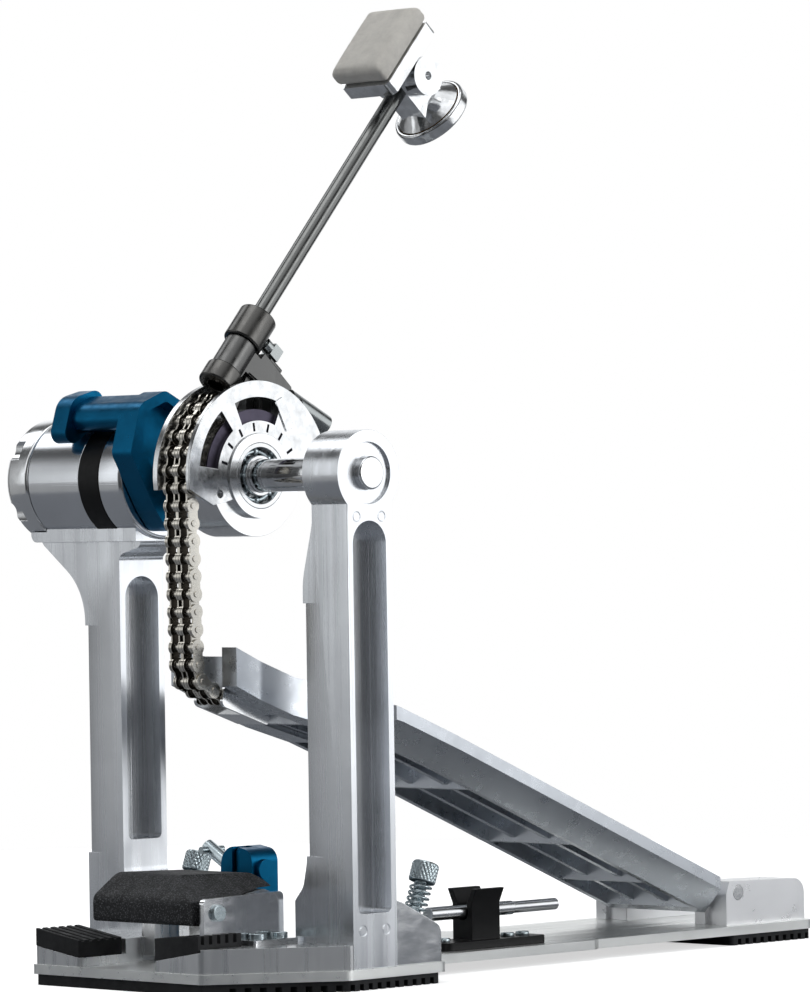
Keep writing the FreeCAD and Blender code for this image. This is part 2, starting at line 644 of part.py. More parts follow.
def face_plate():
    """Near cheek of the drive wheel with two arc windows, tick marks and a cut foot."""
    plate = body("face_plate")
    rim = sketch_on(plate, "YZ_Plane", "face_in", "axle_height")
    sector(rim, "wheel_size", "wheel_from", "wheel_to", [("-23", "-10.5"), ("-17", "-9.5"), ("0", "-5"),
                                                         ("18", "0")])
    pad(plate, rim, "face_thick")
    for radius_in, radius_out, start, end in (("20", "28.5", 66, 114), ("20.5", "29.5", 128, 173)):
        window = sketch_on(plate, "YZ_Plane", "face_in + face_thick", "axle_height")
        arc_window(window, radius_in, radius_out, start, end)
        pocket(plate, window, "face_thick")
    marks = sketch_on(plate, "YZ_Plane", "face_in + face_thick", "axle_height")
    for step in range(7):
        tick(marks, 30 + 22.5 * step)
    pocket(plate, marks, "0.5")
    seat = sketch_on(plate, "YZ_Plane", "face_in + face_thick", "axle_height")
    circle(seat, "0", "0", "seat_ring + 0.02")
    pocket(plate, seat, "face_thick")
    screw = sketch_on(plate, "YZ_Plane", "face_in + face_thick", "axle_height")
    circle(screw, "-19.5", "-6.5", "1.5")
    pocket(plate, screw, "face_thick")
    block = sketch_on(plate, "YZ_Plane", "face_in + face_thick", "axle_height")
    outline(block, [("8.2", "26.8"), ("13.6", "16"), ("17.2", "17.8"), ("11.8", "28.6")])
    pad(plate, block, "0.6")
    return node("wheel_face_plate", plate)


def arc_window(sketch, inner, outer, start, end):
    """A curved slot between two radii and two angles round the axle."""
    a, b = math.radians(start), math.radians(end)
    arcs = []
    for radius in (inner, outer):
        ring_shape = Part.Circle(Vector(), Vector(0, 0, 1), number(radius))
        arcs.append(sketch.addGeometry(Part.ArcOfCircle(ring_shape, a, b)))
        fix_point(sketch, arcs[-1], 3, "0", "0")
        bind(sketch, Sketcher.Constraint("Radius", arcs[-1], number(radius)), radius)
    for end_index, angle in ((1, a), (2, b)):
        spots = [Vector(math.cos(angle), math.sin(angle), 0) * number(radius) for radius in (inner, outer)]
        line = sketch.addGeometry(Part.LineSegment(*spots))
        sketch.addConstraint(Sketcher.Constraint("Coincident", arcs[0], end_index, line, 1))
        sketch.addConstraint(Sketcher.Constraint("Coincident", arcs[1], end_index, line, 2))


def tick(sketch, degrees):
    """A short radial mark just outside the bearing ring."""
    along = Vector(math.cos(math.radians(degrees)), math.sin(math.radians(degrees)), 0)
    across = Vector(-along.y, along.x, 0) * 0.5
    spots = [along * 16.2 + across, along * 16.2 - across, along * 19.2 - across, along * 19.2 + across]
    lines = [sketch.addGeometry(Part.LineSegment(spots[i], spots[(i + 1) % 4])) for i in range(4)]
    for i in range(4):
        sketch.addConstraint(Sketcher.Constraint("Coincident", lines[i], 2, lines[(i + 1) % 4], 1))


def bearings():
    """A ball bearing in each end of the wheel hub: outer rings, balls in a cage, inner rings."""
    starts = ("hub_near - bearing_wide", "hub_far")
    outer = [ring("bearing_size - 0.01", "bearing_size - race_wall", "bearing_wide", start, "0",
                  "axle_height")
             for start in starts]
    node("bearing_outer_rings", group(*outer))
    inner = [ring("axle_size + race_wall - 0.4", "axle_size", "bearing_wide", start, "0", "axle_height")
             for start in starts]
    node("bearing_inner_rings", group(*inner))
    cage = Part.Compound([ball_cage(number(start)) for start in starts])
    node("bearing_cages", made(cage))


def ball_cage(start):
    """Eight balls joined by a thin ring, midway between the races."""
    path, size = number("ball_path - 0.15"), number("ball_size - 0.1")
    middle = Vector(start + number("bearing_wide") / 2, 0, number("axle_height"))
    cage = Part.makeTorus(path, 0.7, middle, Vector(1, 0, 0))
    balls = [Part.makeSphere(size, middle + Vector(0, math.cos(turn), math.sin(turn)) * path)
             for turn in (math.pi * step / 4 for step in range(8))]
    return cage.multiFuse(balls)


def drive_tube():
    """Tube that takes the wheel's turn through the housing wall to the return spring."""
    node("drive_tube", ring("tube_size", "axle_size + 0.5", "hub_far - 10.1 - tube_end", "tube_end", "0",
                            "axle_height"))


# ---------------------------------------------------------------- chain

def chain_joints():
    """Pin places from the toe up: toe curve round the board's nose, straight run, then the wheel."""
    pitch, size = number("pitch"), number("pitch_size")
    toe = [Vector(0, -15.2, 103.3), Vector(0, -21.1, 106.0)]
    for degrees in (149.5, 107.5):
        turn = math.radians(degrees)
        toe.append(toe[-1] + Vector(0, math.cos(turn), math.sin(turn)) * pitch)
    toe[1] = toe[0] + (toe[1] - toe[0]).normalize() * pitch
    centre = Vector(0, 0, number("axle_height"))
    reach = toe[-1] - centre
    gap = reach.Length
    free = math.sqrt(gap ** 2 - size ** 2)
    start = math.atan2(reach.z, reach.y) - math.acos(size / gap)
    touch = centre + Vector(0, math.cos(start), math.sin(start)) * size
    along = (touch - toe[-1]).normalize()
    joints = list(toe)
    total = int(number("run_links + free_links + wrap_links"))
    for step in range(1, total + 1):
        run = step * pitch
        if run <= free:
            joints.append(toe[-1] + along * run)
        else:
            turn = start - (run - free) / size
            joints.append(centre + Vector(0, math.cos(turn), math.sin(turn)) * size)
    return joints


def side_plate(first, last, x, thick, hole):
    """A figure-eight link plate between two pins, its lower X face at x."""
    half, side = number("plate_half"), Vector(x, 0, 0)
    along = (last - first).normalize()
    across = Vector(1, 0, 0).cross(along) * half * 0.72
    corners = [first + side + across, last + side + across, last + side - across, first + side - across]
    waist = Part.Face(Part.makePolygon(corners + corners[:1])).extrude(Vector(thick, 0, 0))
    eyes = [Part.makeCylinder(half, thick, end + side, Vector(1, 0, 0)) for end in (first, last)]
    plate = waist.fuse(eyes)
    if hole:
        bores = [Part.makeCylinder(hole, thick + 2, end + side - Vector(1, 0, 0), Vector(1, 0, 0))
                 for end in (first, last)]
        plate = plate.cut(Part.Compound(bores))
    return plate.removeSplitter()


def roller_link(first, last, filled=None):
    """Inner link of both strands: four plates, and a roller at each pin, solid where it holds a loose pin."""
    thin, inner, strand = number("link_thin"), number("inner_half"), number("strand")
    solids = []
    for middle in (number("chain_mid - strand"), number("chain_mid + strand")):
        parts = [side_plate(first, last, middle + inner, thin, number("bush_bore")),
                 side_plate(first, last, middle - inner - thin, thin, number("bush_bore"))]
        for end in (first, last):
            at = end + Vector(middle - inner, 0, 0)
            roller = Part.makeCylinder(number("roller_size"), 2 * inner, at, Vector(1, 0, 0))
            bore = Part.makeCylinder(number("bush_bore"), 2 * inner, at, Vector(1, 0, 0))
            parts.append(roller if end is filled else roller.cut(bore))
        solids.append(parts[0].multiFuse(parts[1:]))
    return solids


def pin_link(first, last, loose=None):
    """Outer link: a plate at each side, one in the middle, and a pin right through at each end not loose."""
    thin, mid = number("link_thin"), number("chain_mid")
    edge = number("strand + inner_half + link_thin + 0.1")
    core = number("strand - inner_half - link_thin - 0.1")
    parts = [side_plate(first, last, mid + edge, thin, 0), side_plate(first, last, mid - edge - thin, thin,
                                                                      0),
             side_plate(first, last, mid - core, 2 * core, 0)]
    for end in (first, last):
        long = 2 * (edge + thin + 0.35)
        if end is not loose:
            parts.append(Part.makeCylinder(number("pin_size"), long, end + Vector(mid - long / 2, 0, 0),
                                           Vector(1, 0, 0)))
        for x in (mid + edge + thin, mid - edge - thin - 0.35):
            parts.append(Part.makeCylinder(1.15, 0.35, end + Vector(x, 0, 0), Vector(1, 0, 0)))
    return parts[0].multiFuse(parts[1:]).Solids


def chain():
    """Toe stretch, straight run, single links that leave the wheel during the stroke, and the rest."""
    joints = chain_joints()
    toe, run, free = (int(number(name)) for name in ("toe_links", "run_links", "free_links"))
    opened = joints[toe + run + free]
    links = []
    for index, (first, last) in enumerate(zip(joints, joints[1:])):
        links.append(pin_link(first, last, opened) if index % 2 else roller_link(first, last, opened))
    node("chain_toe_stretch", made(Part.Compound(sum(links[:toe], []))))
    node("chain_run", made(Part.Compound(sum(links[toe:toe + run], []))))
    for step in range(free):
        node(f"chain_link_{step + 1}", made(Part.Compound(links[toe + run + step])))
    node("chain_wheel_stretch", made(Part.Compound(sum(links[toe + run + free:], []))))


# ---------------------------------------------------------------- beater

def on_shaft():
    """Placement of the beater line: local Z runs up the shaft, local Y points away from the drum."""
    return Placement(Vector(number("chain_mid"), number("shaft_y"), number("axle_height + shaft_up")),
                     Rotation(Vector(1, 0, 0), -number("lean")))


def shaft_piece(label, piece):
    doc.recompute()
    piece.Placement = on_shaft()
    return node(label, piece)


def beater_holder():
    """Bracket on the wheel with a sleeve for the shaft, and a collar above and below it."""
    arm = body("beater_bracket")
    plan = sketch_on(arm, "YZ_Plane")
    outline(plan, [
        ("-4", "-29"), ("4.8", "-29"), ("5.2", "-25.2"), ("15.5", "-24"), ("20", "-32", "2"), ("22", "-46"),
        ("29", "-46"), ("32.5", "-34"), ("30.6", "-27.5", "1.5"), ("28.9", "-24.6"), ("26.4", "-14.4", "1"),
        ("8.4", "-13.8"), ("8.1", "-16.7"), ("-4", "-16.7"),
    ])
    pad(arm, plan, "8", both=True)
    groove = sketch_on(arm, "YZ_Plane", "4")
    outline(groove, [("6.6", "-24.3"), ("15.2", "-23.1"), ("19.9", "-31.2"), ("19.3", "-32.2"), ("15.1",
                                                                                                 "-23.8"),
                     ("6.6", "-24.9")])
    pocket(arm, groove, "0.8")
    sleeve = sketch_on(arm, "XY_Plane", "-29")
    circle(sleeve, "0", "0", "sleeve_size")
    pad(arm, sleeve, "12.3")
    leg = sketch_on(arm, "YZ_Plane")
    outline(leg, [("7.6", "-24.4"), ("9.4", "-24.4"), ("11.8", "-40"), ("10", "-40")])
    pad(arm, leg, "5", both=True)
    bore = sketch_on(arm, "XY_Plane", "-50")
    circle(bore, "0", "0", "shaft_size + fit_gap")
    pocket(arm, bore, "60", backwards=True)
    arm.Label = "bracket_casting"
    pin = cylinder("1.3", "7", "2.4", "12", "-13.3", "Y")
    arm_and_pin = joined(arm, pin)
    doc.recompute()
    arm_and_pin.Placement = on_shaft()
    drum = cylinder("drum_size", "40", "-20", "0", "axle_height", "X")
    node("beater_bracket", less(arm_and_pin, drum))

    screw = joined(cylinder("1.6", "7", "1.5", "4.2", "-9.6", "Y"), cylinder("2.5", "3", "1.5", "7.4",
                                                                             "-9.6", "Y"),
                   box("-1", "10.3", "-12.1", "5", "4.6", "5"))
    shaft_piece("key_screws", screw)
    rims = lambda middle, along: abs(along.z) < 0.1 and math.hypot(middle.x, middle.y) > 6
    collar = eased(ring("collar_size", "shaft_size + fit_gap", "13.6", "0", "0", "-16.5", "Z"), 0.8, rims)
    shaft_piece("upper_collar", less(collar, cylinder("2.55", "9", "1.5", "4.2", "-9.6", "Y")))
    lower = ring("low_collar_size", "shaft_size + fit_gap", "7.5", "0", "0", "-36.6", "Z")
    shaft_piece("lower_collar", eased(lower, 0.8, rims))

    tube = less(cylinder("4", "21", "0", "0", "0", "Y"), cylinder("1.4", "5", "1", "3.6", "0", "X"),
                cylinder("2.4", "5", "0", "17", "0", "Y"))
    stop = joined(tube, cylinder("1.5", "18", "0", "3", "-5.4", "Y"), box("-1.2", "4", "-5.4", "2.4", "12",
                                                                          "4"))
    doc.recompute()
    spot = Vector(3.2, number("stop_y"), number("stop_z"))
    stop.Placement = Placement(on_shaft().multVec(spot), Rotation(Vector(1, 0, 0),
                                                                  number("stop_lean - lean")))
    node("angle_stop", stop)


def beater_shaft():
    rod = cylinder("shaft_size", "shaft_top - shaft_low", "0", "0", "shaft_low", "Z")
    shaft_piece("beater_shaft", eased(rod, 0.8, lambda middle, along: abs(along.z) < 0.1))


def beater_head():
    """Cast head clamped on the shaft: felt pad towards the drum, hard disc on the other side."""
    mid = "head_mid"
    tube = cylinder("7.4", "22", "-9", "-1", mid, "X")
    stem = box("-6", "-12", f"{mid} - 8", "12", "disc_y + 10", "14")
    cup = cone("7", "13", "5", "0", "disc_y - 5.1", mid, "Y")
    plate = box("-pad_wide / 2 + 0.3", "-14.3", f"{mid} - pad_tall / 2 - 0.6", "pad_wide - 0.6", "5.6",
                "pad_tall + 0.4")
    casting = joined(tube, stem, eased(plate, 2.5, lambda middle, along: abs(along.y) > 0.9), cup)
    bore = cylinder("shaft_size + fit_gap", "30", "0", "0", f"{mid} - 20", "Z")
    socket = cylinder("1.6", "5", "9", "-1", mid, "X")
    shaft_piece("head_casting", less(casting, bore, socket))
    felt = box("-pad_wide / 2", "-14.3 - pad_thick", f"{mid} - pad_tall / 2", "pad_wide", "pad_thick",
               "pad_tall")
    felt = eased(felt, 2.6, lambda middle, along: abs(along.y) > 0.9)
    shaft_piece("felt_pad", eased(felt, 2.5, lambda middle, along: middle.y < -22.2))
    shaft_piece("disc_rim", ring("disc_size", "disc_size - 2.2", "5", "0", "disc_y", mid, "Y"))
    shaft_piece("disc_insert", joined(cylinder("disc_size - 2.3", "4.6", "0", "disc_y + 0.1", mid, "Y"),
                                      cylinder("disc_size - 3.5", "1", "0", "disc_y + 4.4", mid, "Y")))


# ---------------------------------------------------------------- footboard

BOARD_TOP = [("bracket_front - 2", "26.5"), ("75", "87"), ("46", "98.3"), ("5", "110.3"), ("toe_y", "121.5")]


def board_strip(sketch, top_drop, bottom_drop, ends=(0, 0), course=None):
    """A side outline that follows the board's top line between two depths below it."""
    line = [(y, f"{z} - ({top_drop})") for y, z in course or BOARD_TOP]
    under = [(y, f"{z} - ({bottom_drop})") for y, z in course or BOARD_TOP]
    line[0] = (f"{line[0][0]} - {ends[0]}", f"{line[0][1]} + {ends[0]} * 0.41")
    under[0] = (f"{under[0][0]} - {ends[0]}", f"{under[0][1]} + {ends[0]} * 0.41")
    line[-1] = (f"{line[-1][0]} + {ends[1]}", f"{line[-1][1]} - {ends[1]} * 0.38")
    under[-1] = (f"{under[-1][0]} + {ends[1]}", f"{under[-1][1]} - {ends[1]} * 0.38")
    outline(sketch, line + under[::-1])


def footboard():
    """Cast board: thin deck, deep sloped rails at both edges, ribs along and across its underside."""
    board = body("footboard")
    slab = sketch_on(board, "YZ_Plane", "tail_mid")
    board_strip(slab, "0", "rail_deep + 1")
    solid = pad(board, slab, "2 * board_half", both=True)
    doc.recompute()
    half, middle = number("board_half"), number("tail_mid")
    top_line = [(number(y), number(z)) for y, z in BOARD_TOP][::-1]
    lower = []
    for index, edge in enumerate(solid.Shape.Edges, start=1):
        spot = edge.valueAt((edge.FirstParameter + edge.LastParameter) / 2)
        if abs(abs(spot.x - middle) - half) > 0.01 or abs(edge.tangentAt(edge.FirstParameter).y) < 0.5:
            continue
        for (y1, z1), (y2, z2) in zip(top_line, top_line[1:]):
            if y1 <= spot.y <= y2 and spot.z < z1 + (z2 - z1) * (spot.y - y1) / (y2 - y1) - 4:
                lower.append(f"Edge{index}")
    slope = board.newObject("PartDesign::Chamfer", "rail_slopes")
    slope.Base = (solid, lower)
    slope.setExpression("Size", dims("rail_slope"))
    doc.recompute()
    for course, width in ((BOARD_TOP[:3], "2 * (board_half - rail_slope - 3)"), (BOARD_TOP[2:4],
                                                                                 "2 * toe_half - 12")):
        hollow = sketch_on(board, "YZ_Plane", "tail_mid")
        board_strip(hollow, "deck_thick", "rail_deep + 4", ends=(5 if course == BOARD_TOP[:3] else 0, 0),
                    course=course)
        pocket(board, hollow, width, both=True)
    for side in (-1, 1):
        rib = sketch_on(board, "YZ_Plane", f"tail_mid + {side} * 9")
        board_strip(rib, "deck_thick - 0.5", "rail_deep - 1", ends=(2, 2))
        pad(board, rib, "2.6", both=True)
    for y, z in (("20", "105.5"), ("95", "78.7"), ("150", "55.5"), ("190", "38.8")):
        brace = sketch_on(board, "YZ_Plane", "tail_mid")
        outline(brace, [(f"{y} - 1.3", f"{z} - 2"), (f"{y} - 1.3", f"{z} - rail_deep"),
                        (f"{y} + 1.3", f"{z} - rail_deep - 0.5"), (f"{y} + 1.3", f"{z} - 2.5")])
        pad(board, brace, "2 * (board_half - rail_slope - 2)" if y != "20" else "2 * toe_half - 8", both=True)
    for side in (-1, 1):
        taper = sketch_on(board, "XY_Plane", "140")
        outline(taper, [
            (f"tail_mid + {side} * toe_half", "toe_y - 10"), (f"tail_mid + {side} * toe_half",
                                                              "toe_y + 12", "10"),
            (f"tail_mid + {side} * board_half", "60", "40"), (f"tail_mid + {side} * (board_half + 20)", "60"),
            (f"tail_mid + {side} * (board_half + 20)", "toe_y - 10"),
        ][::side])
        pocket(board, taper, "100")
    slot = sketch_on(board, "XY_Plane", "140")
    rectangle(slot, "chain_mid - 9.5", "toe_y - 10", "chain_mid + 9.5", "toe_y + 8", "2")
    pocket(board, slot, "50")
    for side in (-1, 1):
        lug = sketch_on(board, "YZ_Plane", f"tail_mid + {side} * 12")
        outline(lug, [("bracket_front - 12", "27"), ("heel_y - 9", "heel_z - 4"), ("heel_y", "heel_z - 4"),
                      ("heel_y + 3", "heel_z + 3", "2"), ("bracket_front - 6", "29")])
        pad(board, lug, "6", both=True)
    barrel_room = sketch_on(board, "YZ_Plane", "tail_mid")
    circle(barrel_room, "heel_y", "heel_z", "barrel_size + 0.03")
    pocket(board, barrel_room, "2 * bracket_gap", both=True)
    node("footboard", board)
    reach, start = "2 * bracket_gap - 0.8", "tail_mid - bracket_gap + 0.4"
    node("hinge_barrel", ring("barrel_size", "heel_pin + fit_gap", reach, start, "heel_y", "heel_z"))
    return board


def clevis(board):
    """Block under the toe that takes the last chain pin, cut to the board's underside."""
    block = body("chain_clevis")
    profile = sketch_on(block, "YZ_Plane", "chain_mid")
    outline(profile, [("-18.6", "100.5", "2.5"), ("4", "92.6", "1"), ("7", "99.5", "1"), ("7", "106.3"),
                      ("-8", "111"),
                      ("-17.4", "106.9", "2.5")])
    pad(block, profile, "2 * strand + 2 * inner_half + 5.6", both=True)
    room = sketch_on(block, "XY_Plane", "125")
    rectangle(room, "chain_mid - strand - inner_half - 1.4", "-30",
              "chain_mid + strand + inner_half + 1.4", "-8.2")
    pocket(block, room, "60")
    pin = sketch_on(block, "YZ_Plane", "chain_mid")
    circle(pin, "-15.2", "103.3", "1")
    pad(block, pin, "2 * strand + 2 * inner_half + 6.4", both=True)
    block.Label = "clevis_block"
    node("chain_clevis", less(block, board))


# ---------------------------------------------------------------- hoop clamp

def lower_pads(channel):
    """Two ribbed rubber blocks on the yoke, on which the drum hoop rests, cut round the channel."""
    for name, left, right, low_left, low_right, top_left, top_right in (
            ("left_hoop_pad", "-48.6", "-25.4", "14.2", "10.7", "20.6", "17"),
            ("right_hoop_pad", "15", "37.6", "11.4", f"{YOKE_TOP} - 1", "19.4", "21")):
        block = body(name)
        profile = sketch_on(block, "XZ_Plane", "front_edge - 0.9")
        outline(profile, [(left, low_left), (right, low_right), (right, top_right), (left, top_left)])
        pad(block, profile, "21", backwards=True)
        for i in range(5):
            cut = sketch_on(block, "YZ_Plane", left)
            outline(cut, [(f"{2.4 + 3.9 * i} - front_edge", f"{top_left} + 3"),
                          (f"{2.4 + 3.9 * i} - front_edge", f"({top_left} + {top_right}) / 2 - 2.4"),
                          (f"{3.9 + 3.9 * i} - front_edge", f"({top_left} + {top_right}) / 2 - 2.4"),
                          (f"{3.9 + 3.9 * i} - front_edge", f"{top_left} + 3")])
            pocket(block, cut, "40", backwards=True)
        block.Label = name + "_block"
        node(name, less(block, channel))


def clamp_bracket():
    """Bright channel that stands on the yoke at the near side of the jaw, with the jaw's hinge pin."""
    channel = body("clamp_bracket")
    side = sketch_on(channel, "YZ_Plane", "channel_x")
    outline(side, [("6 - front_edge", YOKE_TOP), ("-12.5", YOKE_TOP), ("-12.5", "34.5", "2"),
                   ("6 - front_edge", "33.5", "2")])
    pad(channel, side, "2.4")
    foot = sketch_on(channel, "XY_Plane", YOKE_TOP)
    rectangle(foot, "channel_x", "-34", "channel_x + 10", "-12.5", "1")
    pad(channel, foot, "2")
    pin = cylinder("1.98", "channel_x - jaw_left + 3", "jaw_left - 3", "hinge_y", "hinge_z", "X")
    node("jaw_hinge_pin", pin)
    side_screw = joined(cylinder("3", "1.6", "channel_x + 2.4", "-45", "28.4", "X"),
                        cylinder("1.5", "2.4", "channel_x", "-45", "28.4", "X"))
    floor_screws = [joined(cylinder("3", "2.2", x, y, f"{YOKE_TOP} + 2", "Z"),
                           cylinder("1.5", "2", x, y, YOKE_TOP, "Z"))
                    for x, y in (("channel_x + 6.2", "-29"), ("channel_x + 6.2", "-18.5"))]
    screws = group(side_screw, *floor_screws)
    node("clamp_screws", screws)
    channel.Label = "bracket_channel"
    node("clamp_bracket", less(channel, screws))
    return channel


def jaw():
    """Upper jaw of the hoop clamp: metal lever with a thick rubber cover."""
    lever = body("jaw_lever")
    profile = sketch_on(lever, "YZ_Plane", "(jaw_left + channel_x) / 2 - 1")
    outline(profile, [
        ("jaw_front + 6", "27.5"), ("hinge_y - 8", "25", "3"), ("hinge_y + 6", "25", "3"), ("hinge_y + 8",
                                                                                            "33", "2"),
        ("hinge_y + 2", "35"), ("jaw_front + 6", "30.5"),
    ])
    pad(lever, profile, "jaw_right - jaw_left - 6", both=True)
    eye = sketch_on(lever, "YZ_Plane", "0")
    circle(eye, "hinge_y", "hinge_z", "2 + fit_gap")
    pocket(lever, eye, "120", both=True)
    node("jaw_lever", lever)
    cover = body("jaw_cover")
    shell = sketch_on(cover, "YZ_Plane", "jaw_left")
    outline(shell, [
        ("jaw_front", "24.2", "1.5"), ("jaw_front + 13", "23.4", "2"), ("jaw_front + 14", "27.7"),
        ("jaw_front + 5.8", "27.6"), ("jaw_front + 5.8", "30.6"), ("hinge_y + 2", "35.3"), ("hinge_y + 9",
                                                                                            "35.6"),
        ("hinge_y + 11", "40", "3"),
        ("jaw_front + 12", "41", "8"), ("jaw_front", "33", "4"),
    ])
    pad(cover, shell, "jaw_right - jaw_left")
    slope = sketch_on(cover, "XZ_Plane", "30")
    outline(slope, [("12", "44"), ("14", "40.5", "4"), ("36", "30"), ("36", "44")])
    pocket(cover, slope, "80", both=True)
    teeth = sketch_on(cover, "YZ_Plane", "0")
    rectangle(teeth, "jaw_front + 2.2", "20", "jaw_front + 3.4", "25.2")
    cut = pocket(cover, teeth, "120", both=True)
    row_of(cover, cut, "Y_Axis", "2.6", 4)
    cover.Label = "cover_moulding"
    node("jaw_cover", less(cover, lever))


def clamp_drive():
    """Blue wedge block with its steel blade, and the knurled screw that pulls it from the side."""
    block = body("clamp_block")
    face = sketch_on(block, "XZ_Plane", "-hinge_y - 18")
    outline(face, [("-13", "11.6"), ("5", "11.6"), ("5", "47", "5"), ("-11", "49.5", "7")])
    pad(block, face, "13", backwards=True)
    slot = sketch_on(block, "XY_Plane", "52")
    rectangle(slot, "-5.4", "-2", "-1.2", "8")
    pocket(block, slot, "26")
    blade = sketch_on(block, "YZ_Plane", "-4.7")
    outline(blade, [("2.5", "25"), ("9", "25"), ("9", "47"), ("2.5", "48.6", "2")])
    pad(block, blade, "2.8")
    knob = sketch_on(block, "YZ_Plane", "4.9")
    circle(knob, "6.5", "40", "3.8")
    pad(block, knob, "2.2")
    node("clamp_block", block)
    turn = Placement(Vector(-13.2, 7, 41), Rotation(Vector(0, 1, 0), -60))
    rod = joined(cylinder("2.6", "13", "0", "0", "0.5"), cylinder("1.3", "11", "0", "-5.5", "10.8", "Y"))
    doc.recompute()
    rod.Placement = turn
    node("clamp_screw", rod)


# ---------------------------------------------------------------- spurs and tool

def spurs():
    """At each side a block on the plate, a knurled pointed screw through it and its spring."""
    for side, name in ((1, "near"), (-1, "far")):
        block = body(name + "_spur_block")
        profile = sketch_on(block, "YZ_Plane", f"{side} * spur_x")
        outline(profile, [
            ("post_half + 0.3", PLATE_TOP), ("wing_back - 1", PLATE_TOP), ("wing_back - 1", "20.5", "4"),
            ("post_half + 4", "29.8", "1"), ("post_half + 0.3", "31"),
        ])
        pad(block, profile, "2 * (post_out - spur_x) - 1.5", both=True)
        block.Label = name + "_spur_block_cast"
        tilt = Placement(Vector(side * number("spur_x"), number("spur_y"), number("spur_z")),
                         Rotation(Vector(1, 0, 0), -number("spur_tilt")))
        hole = made(Part.makeCylinder(number("spur_size + fit_gap"), 60, Vector(0, 0, -40), Vector(0, 0, 1)))
        doc.recompute()
        hole.Placement = tilt
        drilled = less(block, hole)
        node(name + "_spur_block", drilled)
        head = less(cylinder("spur_head", "7.2", "0", "0", "12.6"), cylinder("4.5", "1.9", "0", "0", "12.6"))
        screw = joined(cone("0.4", "spur_size", "4", "0", "0", "-23.8"),
                       cylinder("spur_size", "36", "0", "0", "-19.8"), head)
        spring = made(helix(3.7, 0.9, 11.4, 5.5))
        doc.recompute()
        screw.Placement = tilt
        spring.Placement = Placement(tilt.multVec(Vector(0, 0, 0.5)), tilt.Rotation)
        node(name + "_spur", screw)
        node(name + "_spur_spring", spring)


def tool():
    """Drum-key rod held in a snap clip behind the uprights."""
    clip = body("tool_clip")
    foot = sketch_on(clip, "XY_Plane", PLATE_TOP)
    rectangle(foot, "tool_x - 8", "68", "tool_x + 8", "122", "4")
    pad(clip, foot, "3")
    arms = sketch_on(clip, "XZ_Plane", "-84")
    grip = "tool_size + 0.3"
    outline(arms, [
        ("tool_x - 5", PLATE_TOP), ("tool_x + 5", PLATE_TOP), ("tool_x + 5", "tool_z + 3"),
        ("tool_x + 7.5", "tool_z + 8.5"), ("tool_x + 5", "tool_z + 8.5"), ("tool_x + 2.2", "tool_z + 3"),
        ("tool_x + 3", "tool_z - 3", "2.3"), ("tool_x - 3", "tool_z - 3", "2.3"), ("tool_x - 2.2",
                                                                                   "tool_z + 3"),
        ("tool_x - 5", "tool_z + 8.5"), ("tool_x - 7.5", "tool_z + 8.5"), ("tool_x - 5", "tool_z + 3"),
    ])
    pad(clip, arms, "15", backwards=True)
    room = sketch_on(clip, "XZ_Plane", "-60")
    circle(room, "tool_x", "tool_z", grip)
    pocket(clip, room, "60", backwards=False)
    node("tool_clip", clip)
    rivets = [eased(cylinder("2.6", "1.4", "tool_x", y, f"{PLATE_TOP} + 3"), 0.6,
                    lambda middle, along: middle.z > 11.5) for y in ("74", "108", "116")]
    node("clip_rivets", group(*rivets))
    rod = joined(cylinder("tool_size", "44", "tool_x", "66", "tool_z", "Y"),
                 cylinder("tool_size - 0.4", "24", "tool_x", "110", "tool_z", "Y"))
    node("tool_rod", rod)


base_plate()
rubber_feet()
front_casting = yoke()
near_post()
far_post(front_casting)
axle()
heel_brackets()
spring_housing()
tension_cap()
return_spring()
tension_lever()
wheel_casting()
face_plate()
bearings()
drive_tube()
chain()
beater_holder()
beater_shaft()
beater_head()
clevis(footboard())
lower_pads(clamp_bracket())
jaw()
clamp_drive()
spurs()
tool()
doc.recompute()

problems = []
for item in doc.Objects:
    if "Invalid" in item.State or "Error" in item.State:
        problems.append(f"{item.Name} is {item.State}")
for piece in NODES:
    if piece.Shape.isNull() or not piece.Shape.isValid() or not piece.Shape.Solids:
        problems.append(f"{piece.Label} has no valid solid")
for item in doc.Objects:
    if item.TypeId == "PartDesign::Pocket" and item.BaseFeature is not None and not item.Shape.isNull():
        if item.BaseFeature.Shape.Volume - item.Shape.Volume < 0.01:
            problems.append(f"{item.Name} cuts nothing")
if problems:
    raise RuntimeError("; ".join(problems))

os.makedirs("parts", exist_ok=True)
for piece in NODES:
    piece.Shape.exportStep(f"parts/{piece.Label}.step")
print(len(NODES), "nodes written")
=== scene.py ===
"""Looks of the bass drum pedal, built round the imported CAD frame.

Metres, +Z up, +X along the axle towards the open upright, -Y towards the drum.
"""
import json
import math

import bmesh
import bpy
from mathutils import Matrix, Vector, noise


